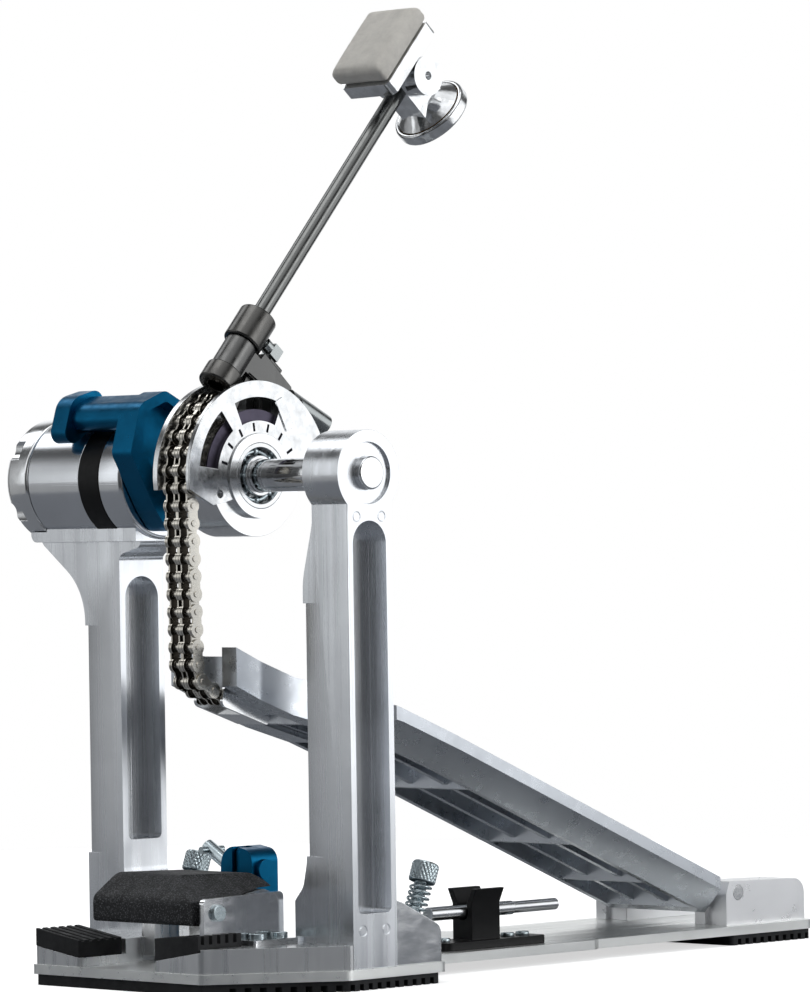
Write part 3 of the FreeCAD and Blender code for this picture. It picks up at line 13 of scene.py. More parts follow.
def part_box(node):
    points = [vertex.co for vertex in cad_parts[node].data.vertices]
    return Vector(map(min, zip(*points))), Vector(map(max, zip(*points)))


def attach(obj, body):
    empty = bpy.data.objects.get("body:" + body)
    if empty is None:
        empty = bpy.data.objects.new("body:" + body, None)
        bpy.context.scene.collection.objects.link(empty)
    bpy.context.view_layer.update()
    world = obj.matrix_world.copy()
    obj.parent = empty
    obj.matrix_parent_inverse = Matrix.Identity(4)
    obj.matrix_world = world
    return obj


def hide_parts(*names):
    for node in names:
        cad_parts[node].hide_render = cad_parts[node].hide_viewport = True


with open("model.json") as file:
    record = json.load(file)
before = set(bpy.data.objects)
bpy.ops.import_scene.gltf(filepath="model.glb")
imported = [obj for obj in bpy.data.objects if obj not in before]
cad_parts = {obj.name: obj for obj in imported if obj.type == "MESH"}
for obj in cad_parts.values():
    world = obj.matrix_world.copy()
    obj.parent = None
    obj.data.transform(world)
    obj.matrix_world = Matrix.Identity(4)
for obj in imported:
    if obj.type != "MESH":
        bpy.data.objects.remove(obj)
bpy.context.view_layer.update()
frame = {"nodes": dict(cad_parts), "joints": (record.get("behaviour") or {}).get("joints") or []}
NODES = frame["nodes"]
JOINTS = {joint["name"]: joint for joint in frame["joints"]}
MM = 0.001

# camera: degrees round from the drum side, degrees up, metres, millimetres and radians
CAMERA_AZIMUTH = 46.7
CAMERA_ELEVATION = 1.79
CAMERA_DISTANCE = 2.0
CAMERA_TARGET = Vector((0, 0, 0.1))
CAMERA_AIM = (0.0608, 0.0759)
CAMERA_ROLL = 0.0155
CAMERA_LENS = 199.6
CAMERA_SENSOR = 36

# soft panels of the room: direction, degrees at full level, degrees where it ends, level
PANELS = (
    ((-0.72, -0.69, 0.0), 12, 34, 0.29),
    ((0.78, 0.62, 0.04), 20, 40, 1.35),
    ((-0.60, 0.80, 0.04), 22, 44, 0.9),
    ((-0.74, -0.05, 0.67), 9, 15, 1.8),
    ((0.2, -0.2, 0.95), 18, 44, 1.0),
    ((0.95, -0.30, 0.12), 4, 11, 0.9),
    ((-0.35, -0.80, 0.50), 12, 22, 0.9),
    ((0.0, 0.0, 1.0), 80, 120, 0.09),
)

FLOOR_RADIUS = 0.8
FLOOR_MIDDLE_Y = 0.1
FLOOR_GLOW = 0.62

# metres: height of the axle, and places along it between which a material is darkened: painted shade on the
# wheel behind the face plate windows and on the inner faces of the chain plates, dark paint in the tick
# floors
AXLE_HEIGHT = 0.183
WHEEL_SHADE_SPAN = (0.0105, 0.0115)
TICK_FLOORS = (0.0126, 0.0128)
CHAIN_SHADE_SPAN = (-0.0023, 0.009)

# pressed felt block: cuts along each edge, rolled edge, crown of the face, depth of the matting
FELT_CUTS = 26
FELT_EDGE = 3.0 * MM
FELT_CROWN = 0.9 * MM
FELT_MATTING = 0.05 * MM

# spurs: thumb head with its knurl and the recess over the spring, point, threaded rod
HEAD_LENGTH = 7.2 * MM
HEAD_RADIUS = 5.0 * MM
KNURL_TEETH = 22
KNURL_DEPTH = 0.34 * MM
KNURL_ROWS = 36
RECESS_RADIUS = 4.45 * MM
RECESS_DEPTH = 1.9 * MM
POINT_LENGTH = 4.2 * MM
ROD_RADIUS = 2.48 * MM
ROD_ROW = 0.15 * MM
THREAD_PITCH = 0.9 * MM
THREAD_DEPTH = 0.14 * MM

# soft edges, in millimetres, of the CAD nodes that differ from the rest of their material
USUAL_EDGE = 0.3
CHAIN_EDGE = 0.12
SOFT_EDGES = {
    "near_post": 0.35, "far_post": 0.35, "front_yoke": 0.5, "footboard": 0.4, "base_plate": 0.4,
    "tension_lever": 1.2, "clamp_block": 0.9, "near_spur_block": 1.0, "far_spur_block": 1.0,
    "near_heel_bracket": 1.0, "far_heel_bracket": 1.0, "jaw_cover": 3.0, "head_casting": 0.9,
    "disc_rim": 1.7,
}
PLAIN_EDGES = {"near_spur_spring", "far_spur_spring", "return_spring", "bearing_cages", "beater_shaft"}


# ---------------------------------------------------------------- camera, light and floor

def turned(back, target, distance, roll, aim_right, aim_up):
    """Camera matrix: looks from target + back * distance at a point beside the target."""
    right = Vector((0, 0, 1)).cross(back).normalized()
    up = back.cross(right)
    image_right = right * math.cos(roll) - up * math.sin(roll)
    image_up = right * math.sin(roll) + up * math.cos(roll)
    place = target + back * distance
    aim = target + image_right * aim_right + image_up * aim_up
    axis = (place - aim).normalized()
    side = (image_right - axis * image_right.dot(axis)).normalized()
    top = axis.cross(side)
    made = Matrix((side, top, axis)).transposed().to_4x4()
    made.translation = place
    return made


def make_camera():
    """A long lens near the floor, on the side of the open upright and the drum."""
    azimuth, elevation = math.radians(CAMERA_AZIMUTH), math.radians(CAMERA_ELEVATION)
    back = Vector((math.sin(azimuth) * math.cos(elevation), -math.cos(azimuth) * math.cos(elevation),
                   math.sin(elevation)))
    data = bpy.data.cameras.new("camera")
    data.lens, data.sensor_width = CAMERA_LENS, CAMERA_SENSOR
    data.clip_start, data.clip_end = 0.1, 60
    camera = bpy.data.objects.new("camera", data)
    camera.matrix_world = turned(back, CAMERA_TARGET, CAMERA_DISTANCE, CAMERA_ROLL, *CAMERA_AIM)
    bpy.context.scene.collection.objects.link(camera)
    bpy.context.scene.camera = camera


def area_light(name, place, aim, size, power, tone=(1, 1, 1)):
    """A rectangular soft light of power watts at place, turned towards aim."""
    data = bpy.data.lights.new(name, "AREA")
    data.shape, data.size, data.size_y = "RECTANGLE", size[0], size[1]
    data.energy, data.color = power, tone
    light = bpy.data.objects.new(name, data)
    light.location = place
    light.rotation_mode = "QUATERNION"
    light.rotation_quaternion = (Vector(aim) - Vector(place)).to_track_quat("-Z", "Y")
    bpy.context.scene.collection.objects.link(light)


def make_world():
    """A dim room with soft bright panels; it shows plain white to the camera."""
    world = bpy.data.worlds.new("studio")
    bpy.context.scene.world = world
    world.use_nodes = True
    tree = world.node_tree
    tree.nodes.clear()
    place = tree.nodes.new("ShaderNodeTexCoord")
    total = None
    for towards, inner, outer, level in PANELS:
        facing = tree.nodes.new("ShaderNodeVectorMath")
        facing.operation = "DOT_PRODUCT"
        facing.inputs[1].default_value = Vector(towards).normalized()
        tree.links.new(place.outputs["Generated"], facing.inputs[0])
        panel = tree.nodes.new("ShaderNodeMapRange")
        panel.interpolation_type = "SMOOTHSTEP"
        panel.inputs["From Min"].default_value = math.cos(math.radians(outer))
        panel.inputs["From Max"].default_value = math.cos(math.radians(inner))
        panel.inputs["To Max"].default_value = level
        tree.links.new(facing.outputs["Value"], panel.inputs["Value"])
        if total is None:
            total = panel.outputs["Result"]
        else:
            add = tree.nodes.new("ShaderNodeMath")
            tree.links.new(total, add.inputs[0])
            tree.links.new(panel.outputs["Result"], add.inputs[1])
            total = add.outputs[0]
    light = tree.nodes.new("ShaderNodeBackground")
    light.inputs["Color"].default_value = (0.97, 0.985, 1, 1)
    tree.links.new(total, light.inputs["Strength"])
    plain = tree.nodes.new("ShaderNodeBackground")
    plain.inputs["Color"].default_value = (1, 1, 1, 1)
    plain.inputs["Strength"].default_value = 1.0
    seen = tree.nodes.new("ShaderNodeLightPath")
    choose = tree.nodes.new("ShaderNodeMixShader")
    tree.links.new(seen.outputs["Is Camera Ray"], choose.inputs["Fac"])
    tree.links.new(light.outputs[0], choose.inputs[1])
    tree.links.new(plain.outputs[0], choose.inputs[2])
    out = tree.nodes.new("ShaderNodeOutputWorld")
    tree.links.new(choose.outputs[0], out.inputs["Surface"])


def make_floor():
    """A pale floor; it shows white with soft shadows and lights the undersides only a little."""
    mesh = bpy.data.meshes.new("floor")
    turns = [math.radians(turn) for turn in range(0, 360, 5)]
    rim = [(FLOOR_RADIUS * math.cos(turn), FLOOR_MIDDLE_Y + FLOOR_RADIUS * math.sin(turn), 0)
           for turn in turns]
    mesh.from_pydata(rim, [], [tuple(range(len(rim)))])
    floor = bpy.data.objects.new("floor", mesh)
    bpy.context.scene.collection.objects.link(floor)
    pale = bpy.data.materials.new("pale_floor")
    pale.use_nodes = True
    tree = pale.node_tree
    shown = tree.nodes["Principled BSDF"]
    shown.inputs["Base Color"].default_value = (0.9, 0.9, 0.9, 1)
    shown.inputs["Roughness"].default_value = 0.9
    shown.inputs["Emission Color"].default_value = (1, 1, 1, 1)
    shown.inputs["Emission Strength"].default_value = FLOOR_GLOW
    dim = tree.nodes.new("ShaderNodeBsdfDiffuse")
    dim.inputs["Color"].default_value = (0.24, 0.25, 0.27, 1)
    seen = tree.nodes.new("ShaderNodeLightPath")
    choose = tree.nodes.new("ShaderNodeMixShader")
    tree.links.new(seen.outputs["Is Camera Ray"], choose.inputs["Fac"])
    tree.links.new(dim.outputs[0], choose.inputs[1])
    tree.links.new(shown.outputs[0], choose.inputs[2])
    tree.links.new(choose.outputs[0], tree.nodes["Material Output"].inputs["Surface"])
    mesh.materials.append(pale)


def make_studio():
    """Camera, room, floor and three soft lights."""
    make_camera()
    make_world()
    make_floor()
    area_light("side_light", (1.9, 0.6, 0.55), (0, 0.05, 0.14), (1.0, 1.2), 6)
    area_light("top_light", (-0.1, -0.3, 1.7), (0, 0.05, 0.1), (0.9, 0.7), 3)
    area_light("front_light", (-1.3, -1.3, 0.6), (0, 0, 0.12), (0.3, 1.1), 0.7, (0.95, 0.98, 1))
    bpy.context.scene.view_settings.view_transform = "Standard"
    bpy.context.scene.view_settings.exposure = 0.0


# ---------------------------------------------------------------- materials

class Surface:
    """A procedural material in the making, in the piece's own coordinates (metres)."""

    def __init__(self, name, color, metallic=0.0, roughness=0.4, **sockets):
        self.material = bpy.data.materials.new(name)
        self.material.use_nodes = True
        self.tree = self.material.node_tree
        self.shader = self.tree.nodes["Principled BSDF"]
        self.color = color
        self.shader.inputs["Base Color"].default_value = (*color, 1)
        self.shader.inputs["Metallic"].default_value = metallic
        self.shader.inputs["Roughness"].default_value = roughness
        for socket, value in sockets.items():
            self.shader.inputs[socket.replace("_", " ")].default_value = value
        self.place = self.tree.nodes.new("ShaderNodeTexCoord").outputs["Object"]
        self.normal = None

    def noise(self, size, stretch=(1, 1, 1), detail=3.0, rough=0.55, twist=0.0):
        """Noise whose blobs are about size metres, longer along an axis with a larger stretch."""
        scale = self.tree.nodes.new("ShaderNodeMapping")
        scale.inputs["Scale"].default_value = [1 / (size * value) for value in stretch]
        self.tree.links.new(self.place, scale.inputs["Vector"])
        made = self.tree.nodes.new("ShaderNodeTexNoise")
        made.inputs["Scale"].default_value = 1
        made.inputs["Detail"].default_value = detail
        made.inputs["Roughness"].default_value = rough
        made.inputs["Distortion"].default_value = twist
        self.tree.links.new(scale.outputs["Vector"], made.inputs["Vector"])
        return made.outputs["Fac"]

    def cells(self, size):
        """Distance from the nearest of scattered points about size metres apart."""
        scale = self.tree.nodes.new("ShaderNodeMapping")
        scale.inputs["Scale"].default_value = [1 / size] * 3
        self.tree.links.new(self.place, scale.inputs["Vector"])
        made = self.tree.nodes.new("ShaderNodeTexVoronoi")
        made.feature = "F1"
        made.inputs["Scale"].default_value = 1
        self.tree.links.new(scale.outputs["Vector"], made.inputs["Vector"])
        return made.outputs["Distance"]

    def spread(self, source, low, high, start=0.3, end=0.7):
        """Map a noise output to numbers between low and high."""
        node = self.tree.nodes.new("ShaderNodeMapRange")
        node.inputs["From Min"].default_value, node.inputs["From Max"].default_value = start, end
        node.inputs["To Min"].default_value, node.inputs["To Max"].default_value = low, high
        self.tree.links.new(source, node.inputs["Value"])
        return node.outputs["Result"]

    def shades(self, source, dark, light):
        """Colour the surface between two tones of its own colour."""
        ramp = self.tree.nodes.new("ShaderNodeValToRGB")
        ramp.color_ramp.elements[0].position, ramp.color_ramp.elements[1].position = 0.3, 0.7
        ramp.color_ramp.elements[0].color = (*[value * dark for value in self.color], 1)
        ramp.color_ramp.elements[1].color = (*[min(1, value * light) for value in self.color], 1)
        self.tree.links.new(source, ramp.inputs["Fac"])
        self.tree.links.new(ramp.outputs["Color"], self.shader.inputs["Base Color"])

    def tint(self, source, color, start, end):
        """Lay another colour over what the surface has, where source is above start."""
        mix = self.tree.nodes.new("ShaderNodeMix")
        mix.data_type = "RGBA"
        socket = self.shader.inputs["Base Color"]
        if socket.is_linked:
            self.tree.links.new(socket.links[0].from_socket, mix.inputs["A"])
        else:
            mix.inputs["A"].default_value = socket.default_value
        mix.inputs["B"].default_value = (*color, 1)
        self.tree.links.new(self.spread(source, 0, 1, start, end), mix.inputs["Factor"])
        self.tree.links.new(mix.outputs["Result"], socket)

    def rough(self, source, low, high):
        """Let the roughness wander between low and high."""
        self.tree.links.new(self.spread(source, low, high), self.shader.inputs["Roughness"])

    def bump(self, source, height, strength=1.0):
        """Raise the surface by source times height metres, on top of earlier bumps."""
        node = self.tree.nodes.new("ShaderNodeBump")
        node.inputs["Distance"].default_value = height
        node.inputs["Strength"].default_value = strength
        self.tree.links.new(source, node.inputs["Height"])
        if self.normal is not None:
            self.tree.links.new(self.normal, node.inputs["Normal"])
        self.normal = node.outputs["Normal"]
        self.tree.links.new(self.normal, self.shader.inputs["Normal"])


def brushed(name, color, roughness, along, grain, height):
    """Drawn metal: fine lines along one axis (millimetres), soft clouds and a few deeper scratches."""
    made = Surface(name, color, metallic=1.0, roughness=roughness)
    long = [60 if axis == along else 1 for axis in "xyz"]
    lines = made.noise(grain * MM, long, detail=4, rough=0.65)
    made.shades(made.noise(0.03, detail=3), 0.90, 1.05)
    made.rough(made.noise(6 * grain * MM, long, detail=3), roughness * 0.72, roughness * 1.35)
    made.bump(lines, height * MM)
    deep = made.noise(1.7 * grain * MM, [90 if axis == along else 1 for axis in "xyz"], detail=1)
    made.bump(made.spread(deep, 1, 0, 0.30, 0.36), height * MM * 0.6)
    return made.material


class Mask:
    """Picks out a part of a material by place and facing, to darken it and make it rougher: painted shade
    in the wheel windows and chain gaps, dark paint in the tick floors.
    """

    def __init__(self, material):
        self.material = material
        self.tree = material.node_tree
        self.place = self.tree.nodes.new("ShaderNodeTexCoord")
        self.factor = None

    def math(self, operation, first, second):
        """One math node on two outputs or numbers."""
        node = self.tree.nodes.new("ShaderNodeMath")
        node.operation = operation
        for socket, value in zip(node.inputs, (first, second)):
            if isinstance(value, float):
                socket.default_value = value
            else:
                self.tree.links.new(value, socket)
        return node.outputs[0]

    def keep(self, output, axis, low, high, both=False):
        """Keep only where a coordinate (or with both its size) lies between low and high."""
        split = self.tree.nodes.new("ShaderNodeSeparateXYZ")
        self.tree.links.new(self.place.outputs[output], split.inputs[0])
        value = split.outputs[axis]
        if both:
            value = self.math("ABSOLUTE", value, 0.0)
        below, above = self.math("LESS_THAN", value, high), self.math("GREATER_THAN", value, low)
        inside = self.math("MULTIPLY", below, above)
        self.factor = inside if self.factor is None else self.math("MULTIPLY", self.factor, inside)
        return self

    def dull(self, tone, rougher=0.2):
        """Multiply the colour by tone and make it rougher there."""
        shader = self.tree.nodes["Principled BSDF"]
        color, rough = shader.inputs["Base Color"], shader.inputs["Roughness"]
        darker = self.tree.nodes.new("ShaderNodeMix")
        darker.data_type, darker.blend_type = "RGBA", "MULTIPLY"
        self.tree.links.new(self.factor, darker.inputs["Factor"])
        self.tree.links.new(color.links[0].from_socket, darker.inputs["A"])
        darker.inputs["B"].default_value = (*tone, 1)
        self.tree.links.new(darker.outputs["Result"], color)
        added = self.math("ADD", rough.links[0].from_socket, self.math("MULTIPLY", self.factor, rougher))
        self.tree.links.new(added, rough)
        return self.material


def polished(name, color, roughness):
    """Buffed or plated metal: faint waves, fine wipe marks and small specks."""
    made = Surface(name, color, metallic=1.0, roughness=roughness)
    made.shades(made.noise(0.02, detail=2), 0.93, 1.04)
    made.rough(made.noise(0.004, (1, 3, 1), detail=5, rough=0.7), roughness * 0.6, roughness * 1.8)
    made.bump(made.noise(0.006, detail=2), 0.03 * MM, 0.6)
    made.bump(made.noise(0.0006, detail=3), 0.005 * MM, 0.5)
    made.tint(made.cells(0.003), [value * 0.6 for value in color], 0.02, 0.0)
    return made.material


def moulded(name, color, wave=0.5):
    """Polished casting with an uneven skin, wave millimetres deep, that breaks up its reflections."""
    made = Surface(name, color, metallic=1.0, roughness=0.15)
    made.shades(made.noise(0.005, detail=4), 0.72, 1.06)
    made.rough(made.noise(0.003, detail=4), 0.08, 0.26)
    made.bump(made.noise(0.007, detail=2), wave * MM, 0.8)
    made.bump(made.noise(0.0005, detail=3), 0.01 * MM)
    return made.material


def cast(name, color, roughness, grain=0.4, metallic=1.0):
    """Tumbled die casting: fine grain, soft flow marks, brighter rubbed patches."""
    made = Surface(name, color, metallic=metallic, roughness=roughness)
    made.shades(made.noise(0.025, (1, 2.5, 1), detail=3), 0.92, 1.04)
    made.rough(made.noise(0.006, detail=4), roughness * 0.75, roughness * 1.25)
    made.bump(made.noise(grain * MM, detail=3), 0.008 * MM)
    made.bump(made.noise(0.009, (1, 3, 1), detail=2), 0.02 * MM, 0.5)
    return made.material


def anodised(name, color):
    """Dyed and anodised alloy over a fine blast."""
    made = Surface(name, color, metallic=0.92, roughness=0.38, Specular_IOR_Level=0.2)
    made.shades(made.noise(0.02, detail=3), 0.82, 1.15)
    made.rough(made.noise(0.003, detail=4), 0.27, 0.46)
    made.bump(made.noise(0.0004, detail=2), 0.012 * MM)
    made.bump(made.noise(0.007, detail=2), 0.06 * MM, 0.5)
    return made.material


def rubber(name, shade=0.018, speckle=False):
    """Moulded black rubber, a little dusty; speckle adds a coarse grain with paler grains in it."""
    made = Surface(name, (shade, shade * 1.03, shade * 1.1), roughness=0.62, Specular_IOR_Level=0.3)
    made.shades(made.noise(0.02, detail=5, rough=0.7), 0.7, 1.7)
    made.rough(made.noise(0.004, detail=4), 0.5, 0.75)
    made.bump(made.noise(0.5 * MM, detail=4, rough=0.7), 0.05 * MM)
    if speckle:
        made.bump(made.spread(made.cells(0.9 * MM), 1, 0, 0.1, 0.75), 0.16 * MM, 0.8)
        made.tint(made.cells(0.7 * MM), (0.17, 0.175, 0.185), 0.42, 0.05)
    return made.material


def plastic(name):
    """Black moulded plastic with a fine grain."""
    made = Surface(name, (0.004, 0.004, 0.0042), roughness=0.40, Specular_IOR_Level=0.25)
    made.shades(made.noise(0.015, detail=3), 0.8, 1.5)
    made.rough(made.noise(0.002, detail=4), 0.3, 0.5)
    made.bump(made.noise(0.0005, detail=3), 0.015 * MM)
    return made.material


def felt(name):
    """Pressed wool: matted fibres in every direction, faintly mottled."""
    made = Surface(name, (0.84, 0.81, 0.75), roughness=0.95, Sheen_Weight=0.2, Sheen_Roughness=0.6)
    fibres = made.noise(0.9 * MM, (1, 0.35, 1.8), detail=6, rough=0.75, twist=2.5)
    crossed = made.noise(0.7 * MM, (1.8, 0.4, 0.8), detail=6, rough=0.75, twist=2.0)
    made.shades(made.noise(0.006, detail=5, rough=0.7), 0.88, 1.10)
    made.tint(fibres, (0.94, 0.92, 0.87), 0.55, 0.8)
    made.tint(crossed, (0.56, 0.53, 0.47), 0.56, 0.85)
    made.bump(fibres, 0.22 * MM, 0.9)
    made.bump(crossed, 0.18 * MM, 0.8)
    made.bump(made.noise(0.005, detail=3), 0.3 * MM, 0.5)
    return made.material


def resin(name, color):
    """Hard brown striking disc."""
    made = Surface(name, color, roughness=0.3, Coat_Weight=0.3)
    made.shades(made.noise(0.004, (1, 1, 4), detail=5, twist=1), 0.7, 1.25)
    made.rough(made.noise(0.003, detail=4), 0.22, 0.42)
    made.bump(made.noise(0.0008, detail=3), 0.02 * MM)
    return made.material


def wheel_alloy():
    """Polished wheel, darkened with painted shade where it shows through the windows of its face plate."""
    made = polished("wheel_alloy", (0.84, 0.85, 0.86), 0.16)
    # painted shade: darkens the wheel in the slab behind the face plate windows, above the axle
    painted_shade_mask = Mask(made).keep("Object", "X", *WHEEL_SHADE_SPAN).keep("Object", "Z", AXLE_HEIGHT, 0.3)
    return painted_shade_mask.dull((0.09, 0.08, 0.11))


def face_alloy():
    """Polished face plate with dark paint in the floors of its tick marks."""
    made = moulded("face_alloy", (0.80, 0.81, 0.82), wave=0.12)
    return Mask(made).keep("Object", "X", *TICK_FLOORS).dull((0.04, 0.04, 0.05), 0.4)


def chain_nickel():
    """Nickel plates and rollers, with painted shade on the inner faces of the plates, in the gaps between
    them.
    """
    made = polished("chain_nickel", (0.80, 0.76, 0.68), 0.20)
    # painted shade: darkens the plate faces that look along the axle inside the chain, where the gaps
    # between the plates lie
    painted_shade_mask = Mask(made).keep("Object", "X", *CHAIN_SHADE_SPAN).keep("Normal", "X", 0.7, 2.0, both=True)
    return painted_shade_mask.dull((0.05, 0.045, 0.04))


def make_materials():
    """Every material of the pedal by the short name that the plan uses."""
    return {
        "post": brushed("post_alloy", (0.80, 0.82, 0.85), 0.24, "z", grain=0.9, height=0.02),
        "far_post": brushed("far_post_alloy", (0.80, 0.82, 0.85), 0.24, "z", grain=0.9, height=0.02),
        "housing": brushed("housing_alloy", (0.80, 0.82, 0.85), 0.16, "x", grain=0.6, height=0.008),
        "polish": polished("polished_alloy", (0.88, 0.89, 0.90), 0.13),
        "chrome": polished("chrome_plate", (0.86, 0.87, 0.88), 0.07),
        "wheel": wheel_alloy(),
        "face": face_alloy(),
        "head": moulded("head_alloy", (0.86, 0.87, 0.88)),
        "yoke": brushed("yoke_alloy", (0.74, 0.75, 0.76), 0.30, "z", grain=0.4, height=0.006),
        "board": cast("board_alloy", (0.62, 0.65, 0.69), 0.30),
        "bracket": cast("bracket_alloy", (0.93, 0.935, 0.95), 0.34, grain=0.3, metallic=0.55),
        "plate": brushed("plate_steel", (0.93, 0.94, 0.92), 0.34, "y", grain=0.5, height=0.01),
        "blue": anodised("blue_anodised", (0.002, 0.12, 0.255)),
        "chain": chain_nickel(),
        "steel": polished("bright_steel", (0.72, 0.73, 0.74), 0.18),
        "shaft": brushed("shaft_steel", (0.16, 0.163, 0.16), 0.22, "z", grain=0.4, height=0.006),
        "sleeve": brushed("sleeve_steel", (0.13, 0.13, 0.128), 0.30, "z", grain=0.5, height=0.008),
        "zinc": polished("zinc_steel", (0.55, 0.63, 0.66), 0.24),
        "gun": brushed("gun_metal", (0.11, 0.108, 0.104), 0.27, "z", grain=0.5, height=0.008),
        "dark": polished("dark_steel", (0.36, 0.38, 0.38), 0.22),
        "rubber": rubber("black_rubber"),
        "jaw": rubber("jaw_rubber", 0.02, speckle=True),
        "plastic": plastic("black_plastic"),
        "felt": felt("grey_felt"),
        "brown": resin("brown_disc", (0.30, 0.16, 0.05)),
    }


# ---------------------------------------------------------------- dressing CAD nodes

def dress(name, material, bevel, steps):
    """Give a CAD node its material and edges bevel millimetres wide, without moving any of it."""
    piece = NODES[name]
    piece.data.materials.clear()
    piece.data.materials.append(material)
    for attribute in ("custom_normal", "sharp_edge", "sharp_face"):
        if attribute in piece.data.attributes:
            piece.data.attributes.remove(piece.data.attributes[attribute])
    piece.data.polygons.foreach_set("use_smooth", [True] * len(piece.data.polygons))
    weld = piece.modifiers.new("weld", "WELD")
    weld.merge_threshold = 2e-6
    flat = piece.modifiers.new("flat", "DECIMATE")
    flat.decimate_type, flat.angle_limit = "DISSOLVE", math.radians(0.6)
    sharp = math.radians(27)
    if bevel:
        edge = piece.modifiers.new("edge", "BEVEL")
        edge.width, edge.segments = bevel * MM, steps
        edge.limit_method, edge.angle_limit = "ANGLE", sharp
        edge.harden_normals = True
        edge.use_clamp_overlap = True
        edge.miter_outer = "MITER_ARC"
    else:
        split = piece.modifiers.new("split", "EDGE_SPLIT")
        split.split_angle = sharp


# ---------------------------------------------------------------- mesh making

def piece_from(name, mesh_data, body, material, replaces, angle):
    """Turn a bmesh into a named piece that rides on a body; edges above angle degrees stay sharp."""
    mesh = bpy.data.meshes.new(name)
    bmesh.ops.recalc_face_normals(mesh_data, faces=mesh_data.faces)
    mesh_data.to_mesh(mesh)
    mesh_data.free()
    mesh.polygons.foreach_set("use_smooth", [True] * len(mesh.polygons))
    mesh.set_sharp_from_angle(angle=math.radians(angle))
    mesh.materials.append(material)
    piece = bpy.data.objects.new(name, mesh)
    bpy.context.scene.collection.objects.link(piece)
    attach(piece, body)
    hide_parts(*replaces)
    return piece


def lathe(into, profile, steps, matrix, ripple):
    """Turn a profile of (radius, height) points about Z; ripple changes a radius at an angle and height."""
    rings = []
    for radius, height in profile:
        if radius < 1e-7:
            rings.append([into.verts.new(matrix @ Vector((0, 0, height)))])
            continue
        ring = []
        for step in range(steps):
            turn = 2 * math.pi * step / steps
            size = ripple(radius, turn, height)
            spot = Vector((size * math.cos(turn), size * math.sin(turn), height))
            ring.append(into.verts.new(matrix @ spot))
        rings.append(ring)
    for low, high in zip(rings, rings[1:]):
        for step in range(steps):
            after = step + 1
            corners = [low[step % len(low)], low[after % len(low)],
                       high[after % len(high)], high[step % len(high)]]
            unique = list(dict.fromkeys(corners))
            if len(unique) > 2:
                into.faces.new(unique)


def frame_at(origin, z_axis):
    """Matrix with its origin at a point, Z along z_axis and X as near to the axle as it can be."""
    z = Vector(z_axis).normalized()
    axle = Vector((1, 0, 0))
    x = (axle - z * axle.dot(z)).normalized()
    made = Matrix((x, z.cross(x), z)).transposed().to_4x4()
    made.translation = Vector(origin)
    return made


def threaded(head):
    """Ripple of a rolled thread for lathe(), on a rod that ends at height head."""
    def size(base, turn, height):
        if 5.5 * MM < height < head - 0.5 * MM and base > 2.3 * MM:
            return base - THREAD_DEPTH * (1 - math.cos(2 * math.pi * height / THREAD_PITCH - turn))
        return base
    return size


def knurled(radius, teeth, depth):
    """Ripple of a diamond knurl for lathe()."""
    def size(base, turn, height):
        if base < radius - 1e-6:
            return base
        left = math.sin(teeth * turn + height / MM * 2.6)
        right = math.sin(teeth * turn - height / MM * 2.6)
        return base - depth * (0.5 - 0.25 * (left + right))
    return size


# ---------------------------------------------------------------- dressed parts

def dress_all(look):
    """Dress every CAD node; the plan lists the nodes of each material."""
    plan = {
        "post": ("near_post",),
        "far_post": ("far_post",),
        "housing": ("spring_housing",),
        "polish": ("tension_cap", "near_spur_block", "far_spur_block", "clamp_bracket", "chain_clevis"),
        "wheel": ("drive_wheel",),
        "chrome": ("axle",),
        "head": ("head_casting", "disc_rim"),
        "face": ("wheel_face_plate",),
        "sleeve": ("beater_bracket",),
        "dark": ("key_screws", "angle_stop"),
        "yoke": ("front_yoke",),
        "board": ("footboard",),
        "bracket": ("near_heel_bracket", "far_heel_bracket"),
        "plate": ("base_plate",),
        "blue": ("tension_lever", "clamp_block"),
        "steel": ("drive_tube", "heel_pin", "bearing_inner_rings", "bearing_outer_rings", "hinge_barrel",
                  "tool_rod", "jaw_lever"),
        "shaft": ("beater_shaft",),
        "zinc": ("clamp_screws", "jaw_hinge_pin", "clamp_screw", "near_spur", "far_spur",
                 "clip_rivets", "near_spur_spring", "far_spur_spring", "return_spring", "bearing_cages"),
        "gun": ("upper_collar", "lower_collar"),
        "rubber": ("front_foot_rubber", "heel_foot_rubber", "left_hoop_pad", "right_hoop_pad"),
        "jaw": ("jaw_cover",),
        "plastic": ("housing_band", "tool_clip"),
        "felt": ("felt_pad",),
        "brown": ("disc_insert",),
        "chain": ("chain_toe_stretch", "chain_run", "chain_wheel_stretch",
                  *[f"chain_link_{step}" for step in range(1, 6)]),
    }
    for key, names in plan.items():
        usual, steps = (CHAIN_EDGE, 1) if key == "chain" else (USUAL_EDGE, 2)
        for name in names:
            width = 0.0 if name in PLAIN_EDGES else SOFT_EDGES.get(name, usual)
            dress(name, look[key], width, steps)


# ---------------------------------------------------------------- pieces made here

def beater_line():
    """The beater shaft's own frame: Z up the shaft, Y away from the drum."""
    low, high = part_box("beater_shaft")
    return frame_at((low + high) / 2, JOINTS["beater_height"]["axis"])


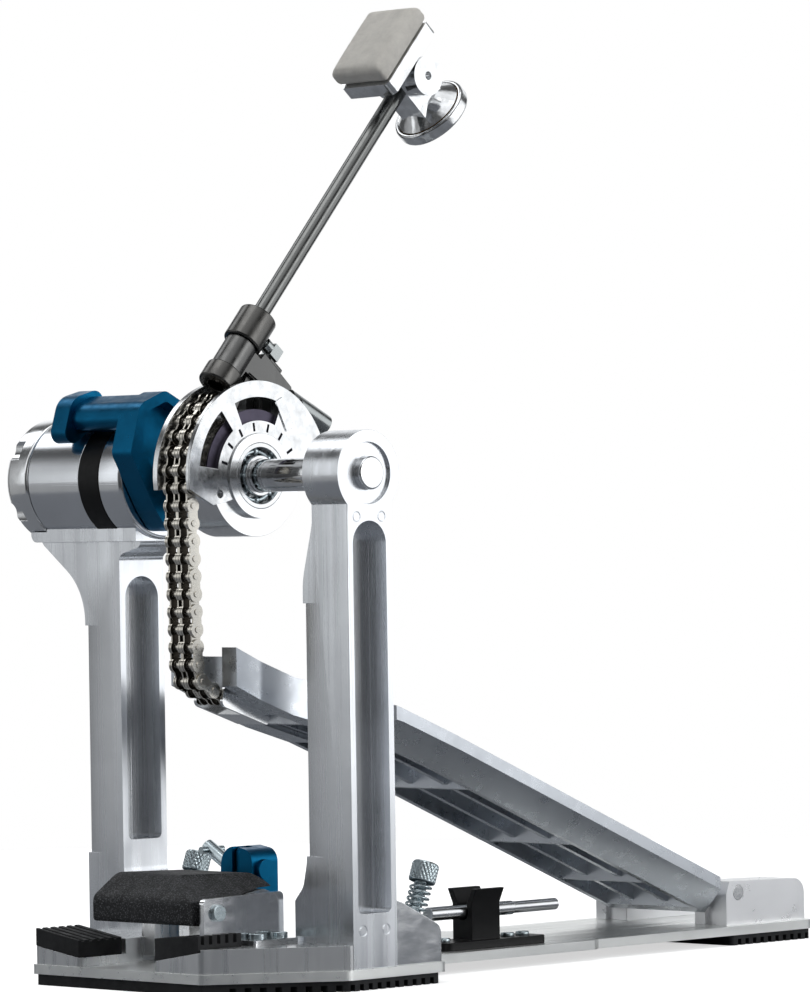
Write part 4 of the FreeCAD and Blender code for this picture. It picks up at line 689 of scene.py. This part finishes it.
def felt_pad(look):
    """Pressed felt block with rolled edges and a slightly crowned face."""
    grid = beater_line()
    local = grid.inverted()
    spots = [local @ vertex.co for vertex in NODES["felt_pad"].data.vertices]
    low = Vector([min(spot[i] for spot in spots) for i in range(3)])
    high = Vector([max(spot[i] for spot in spots) for i in range(3)])
    half, middle = (high - low) / 2, (high + low) / 2
    block = bmesh.new()
    bmesh.ops.create_cube(block, size=2)
    bmesh.ops.subdivide_edges(block, edges=block.edges, cuts=FELT_CUTS, use_grid_fill=True)
    for vertex in block.verts:
        across, back, along = vertex.co
        spot = Vector([vertex.co[i] * half[i] for i in range(3)])
        core = Vector([max(FELT_EDGE - half[i], min(half[i] - FELT_EDGE, spot[i])) for i in range(3)])
        away = spot - core
        squarish = (abs(away.x) ** 5 + abs(away.z) ** 5) ** 0.2
        size = math.hypot(squarish, away.y)
        rolled = size > 1e-9
        if rolled:
            spot = core + away * (FELT_EDGE / size)
        if back < 0:
            spot.y -= FELT_CROWN * (1 - across ** 4) * (1 - along ** 4) * -back
        matted = noise.fractal(spot * 2600, 1.0, 2.0, 4) * FELT_MATTING
        spot += away * (matted / size) if rolled else Vector((0, -matted, 0))
        vertex.co = spot + middle
    block.transform(grid)
    piece = piece_from("felt_block", block, "beater_head", look["felt"], ["felt_pad"], 80)


def spur(side, look):
    """Pointed spur with a rolled thread and a diamond-knurled thumb head."""
    name = f"{side}_spur"
    axis = Vector(JOINTS[name + "_feed"]["axis"]).normalized()
    spots = [vertex.co for vertex in NODES[name].data.vertices]
    lowest = min(spots, key=lambda spot: spot.dot(axis))
    length = max(spot.dot(axis) for spot in spots) - lowest.dot(axis)
    low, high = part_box(name)
    middle = (low + high) / 2
    grid = frame_at((middle.x, lowest.y, lowest.z), axis)
    screw = bmesh.new()

    head = length - HEAD_LENGTH
    straight = head - POINT_LENGTH
    rows = int(straight / ROD_ROW)
    rod = [(0.0, 0.0), (0.5 * MM, 0.15 * MM), (2.45 * MM, 4.0 * MM)]
    rod += [(ROD_RADIUS, POINT_LENGTH + straight * row / rows) for row in range(rows + 1)]
    lathe(screw, rod, 28, grid, threaded(head))

    roof, rim = head + RECESS_DEPTH, head + 0.3 * MM
    knob = [(2.4 * MM, roof), (RECESS_RADIUS, roof), (RECESS_RADIUS, head + 0.2 * MM),
            (4.6 * MM, head), (HEAD_RADIUS - 0.3 * MM, head), (HEAD_RADIUS, rim)]
    knob += [(HEAD_RADIUS, rim + 6.3 * MM * row / KNURL_ROWS) for row in range(1, KNURL_ROWS)]
    knob += [(HEAD_RADIUS, length - 0.6 * MM), (HEAD_RADIUS - 0.6 * MM, length),
             (HEAD_RADIUS - 1.5 * MM, length), (HEAD_RADIUS - 1.8 * MM, length - 0.5 * MM),
             (0.0, length - 0.5 * MM)]
    lathe(screw, knob, 132, grid, knurled(HEAD_RADIUS, KNURL_TEETH, KNURL_DEPTH))
    piece_from(f"{side}_spur_screw", screw, name, look["zinc"], [name], 24)


def main():
    """The whole picture: studio, dressed CAD nodes, felt block and spurs."""
    make_studio()
    look = make_materials()
    dress_all(look)
    felt_pad(look)
    for side in ("near", "far"):
        spur(side, look)


main()
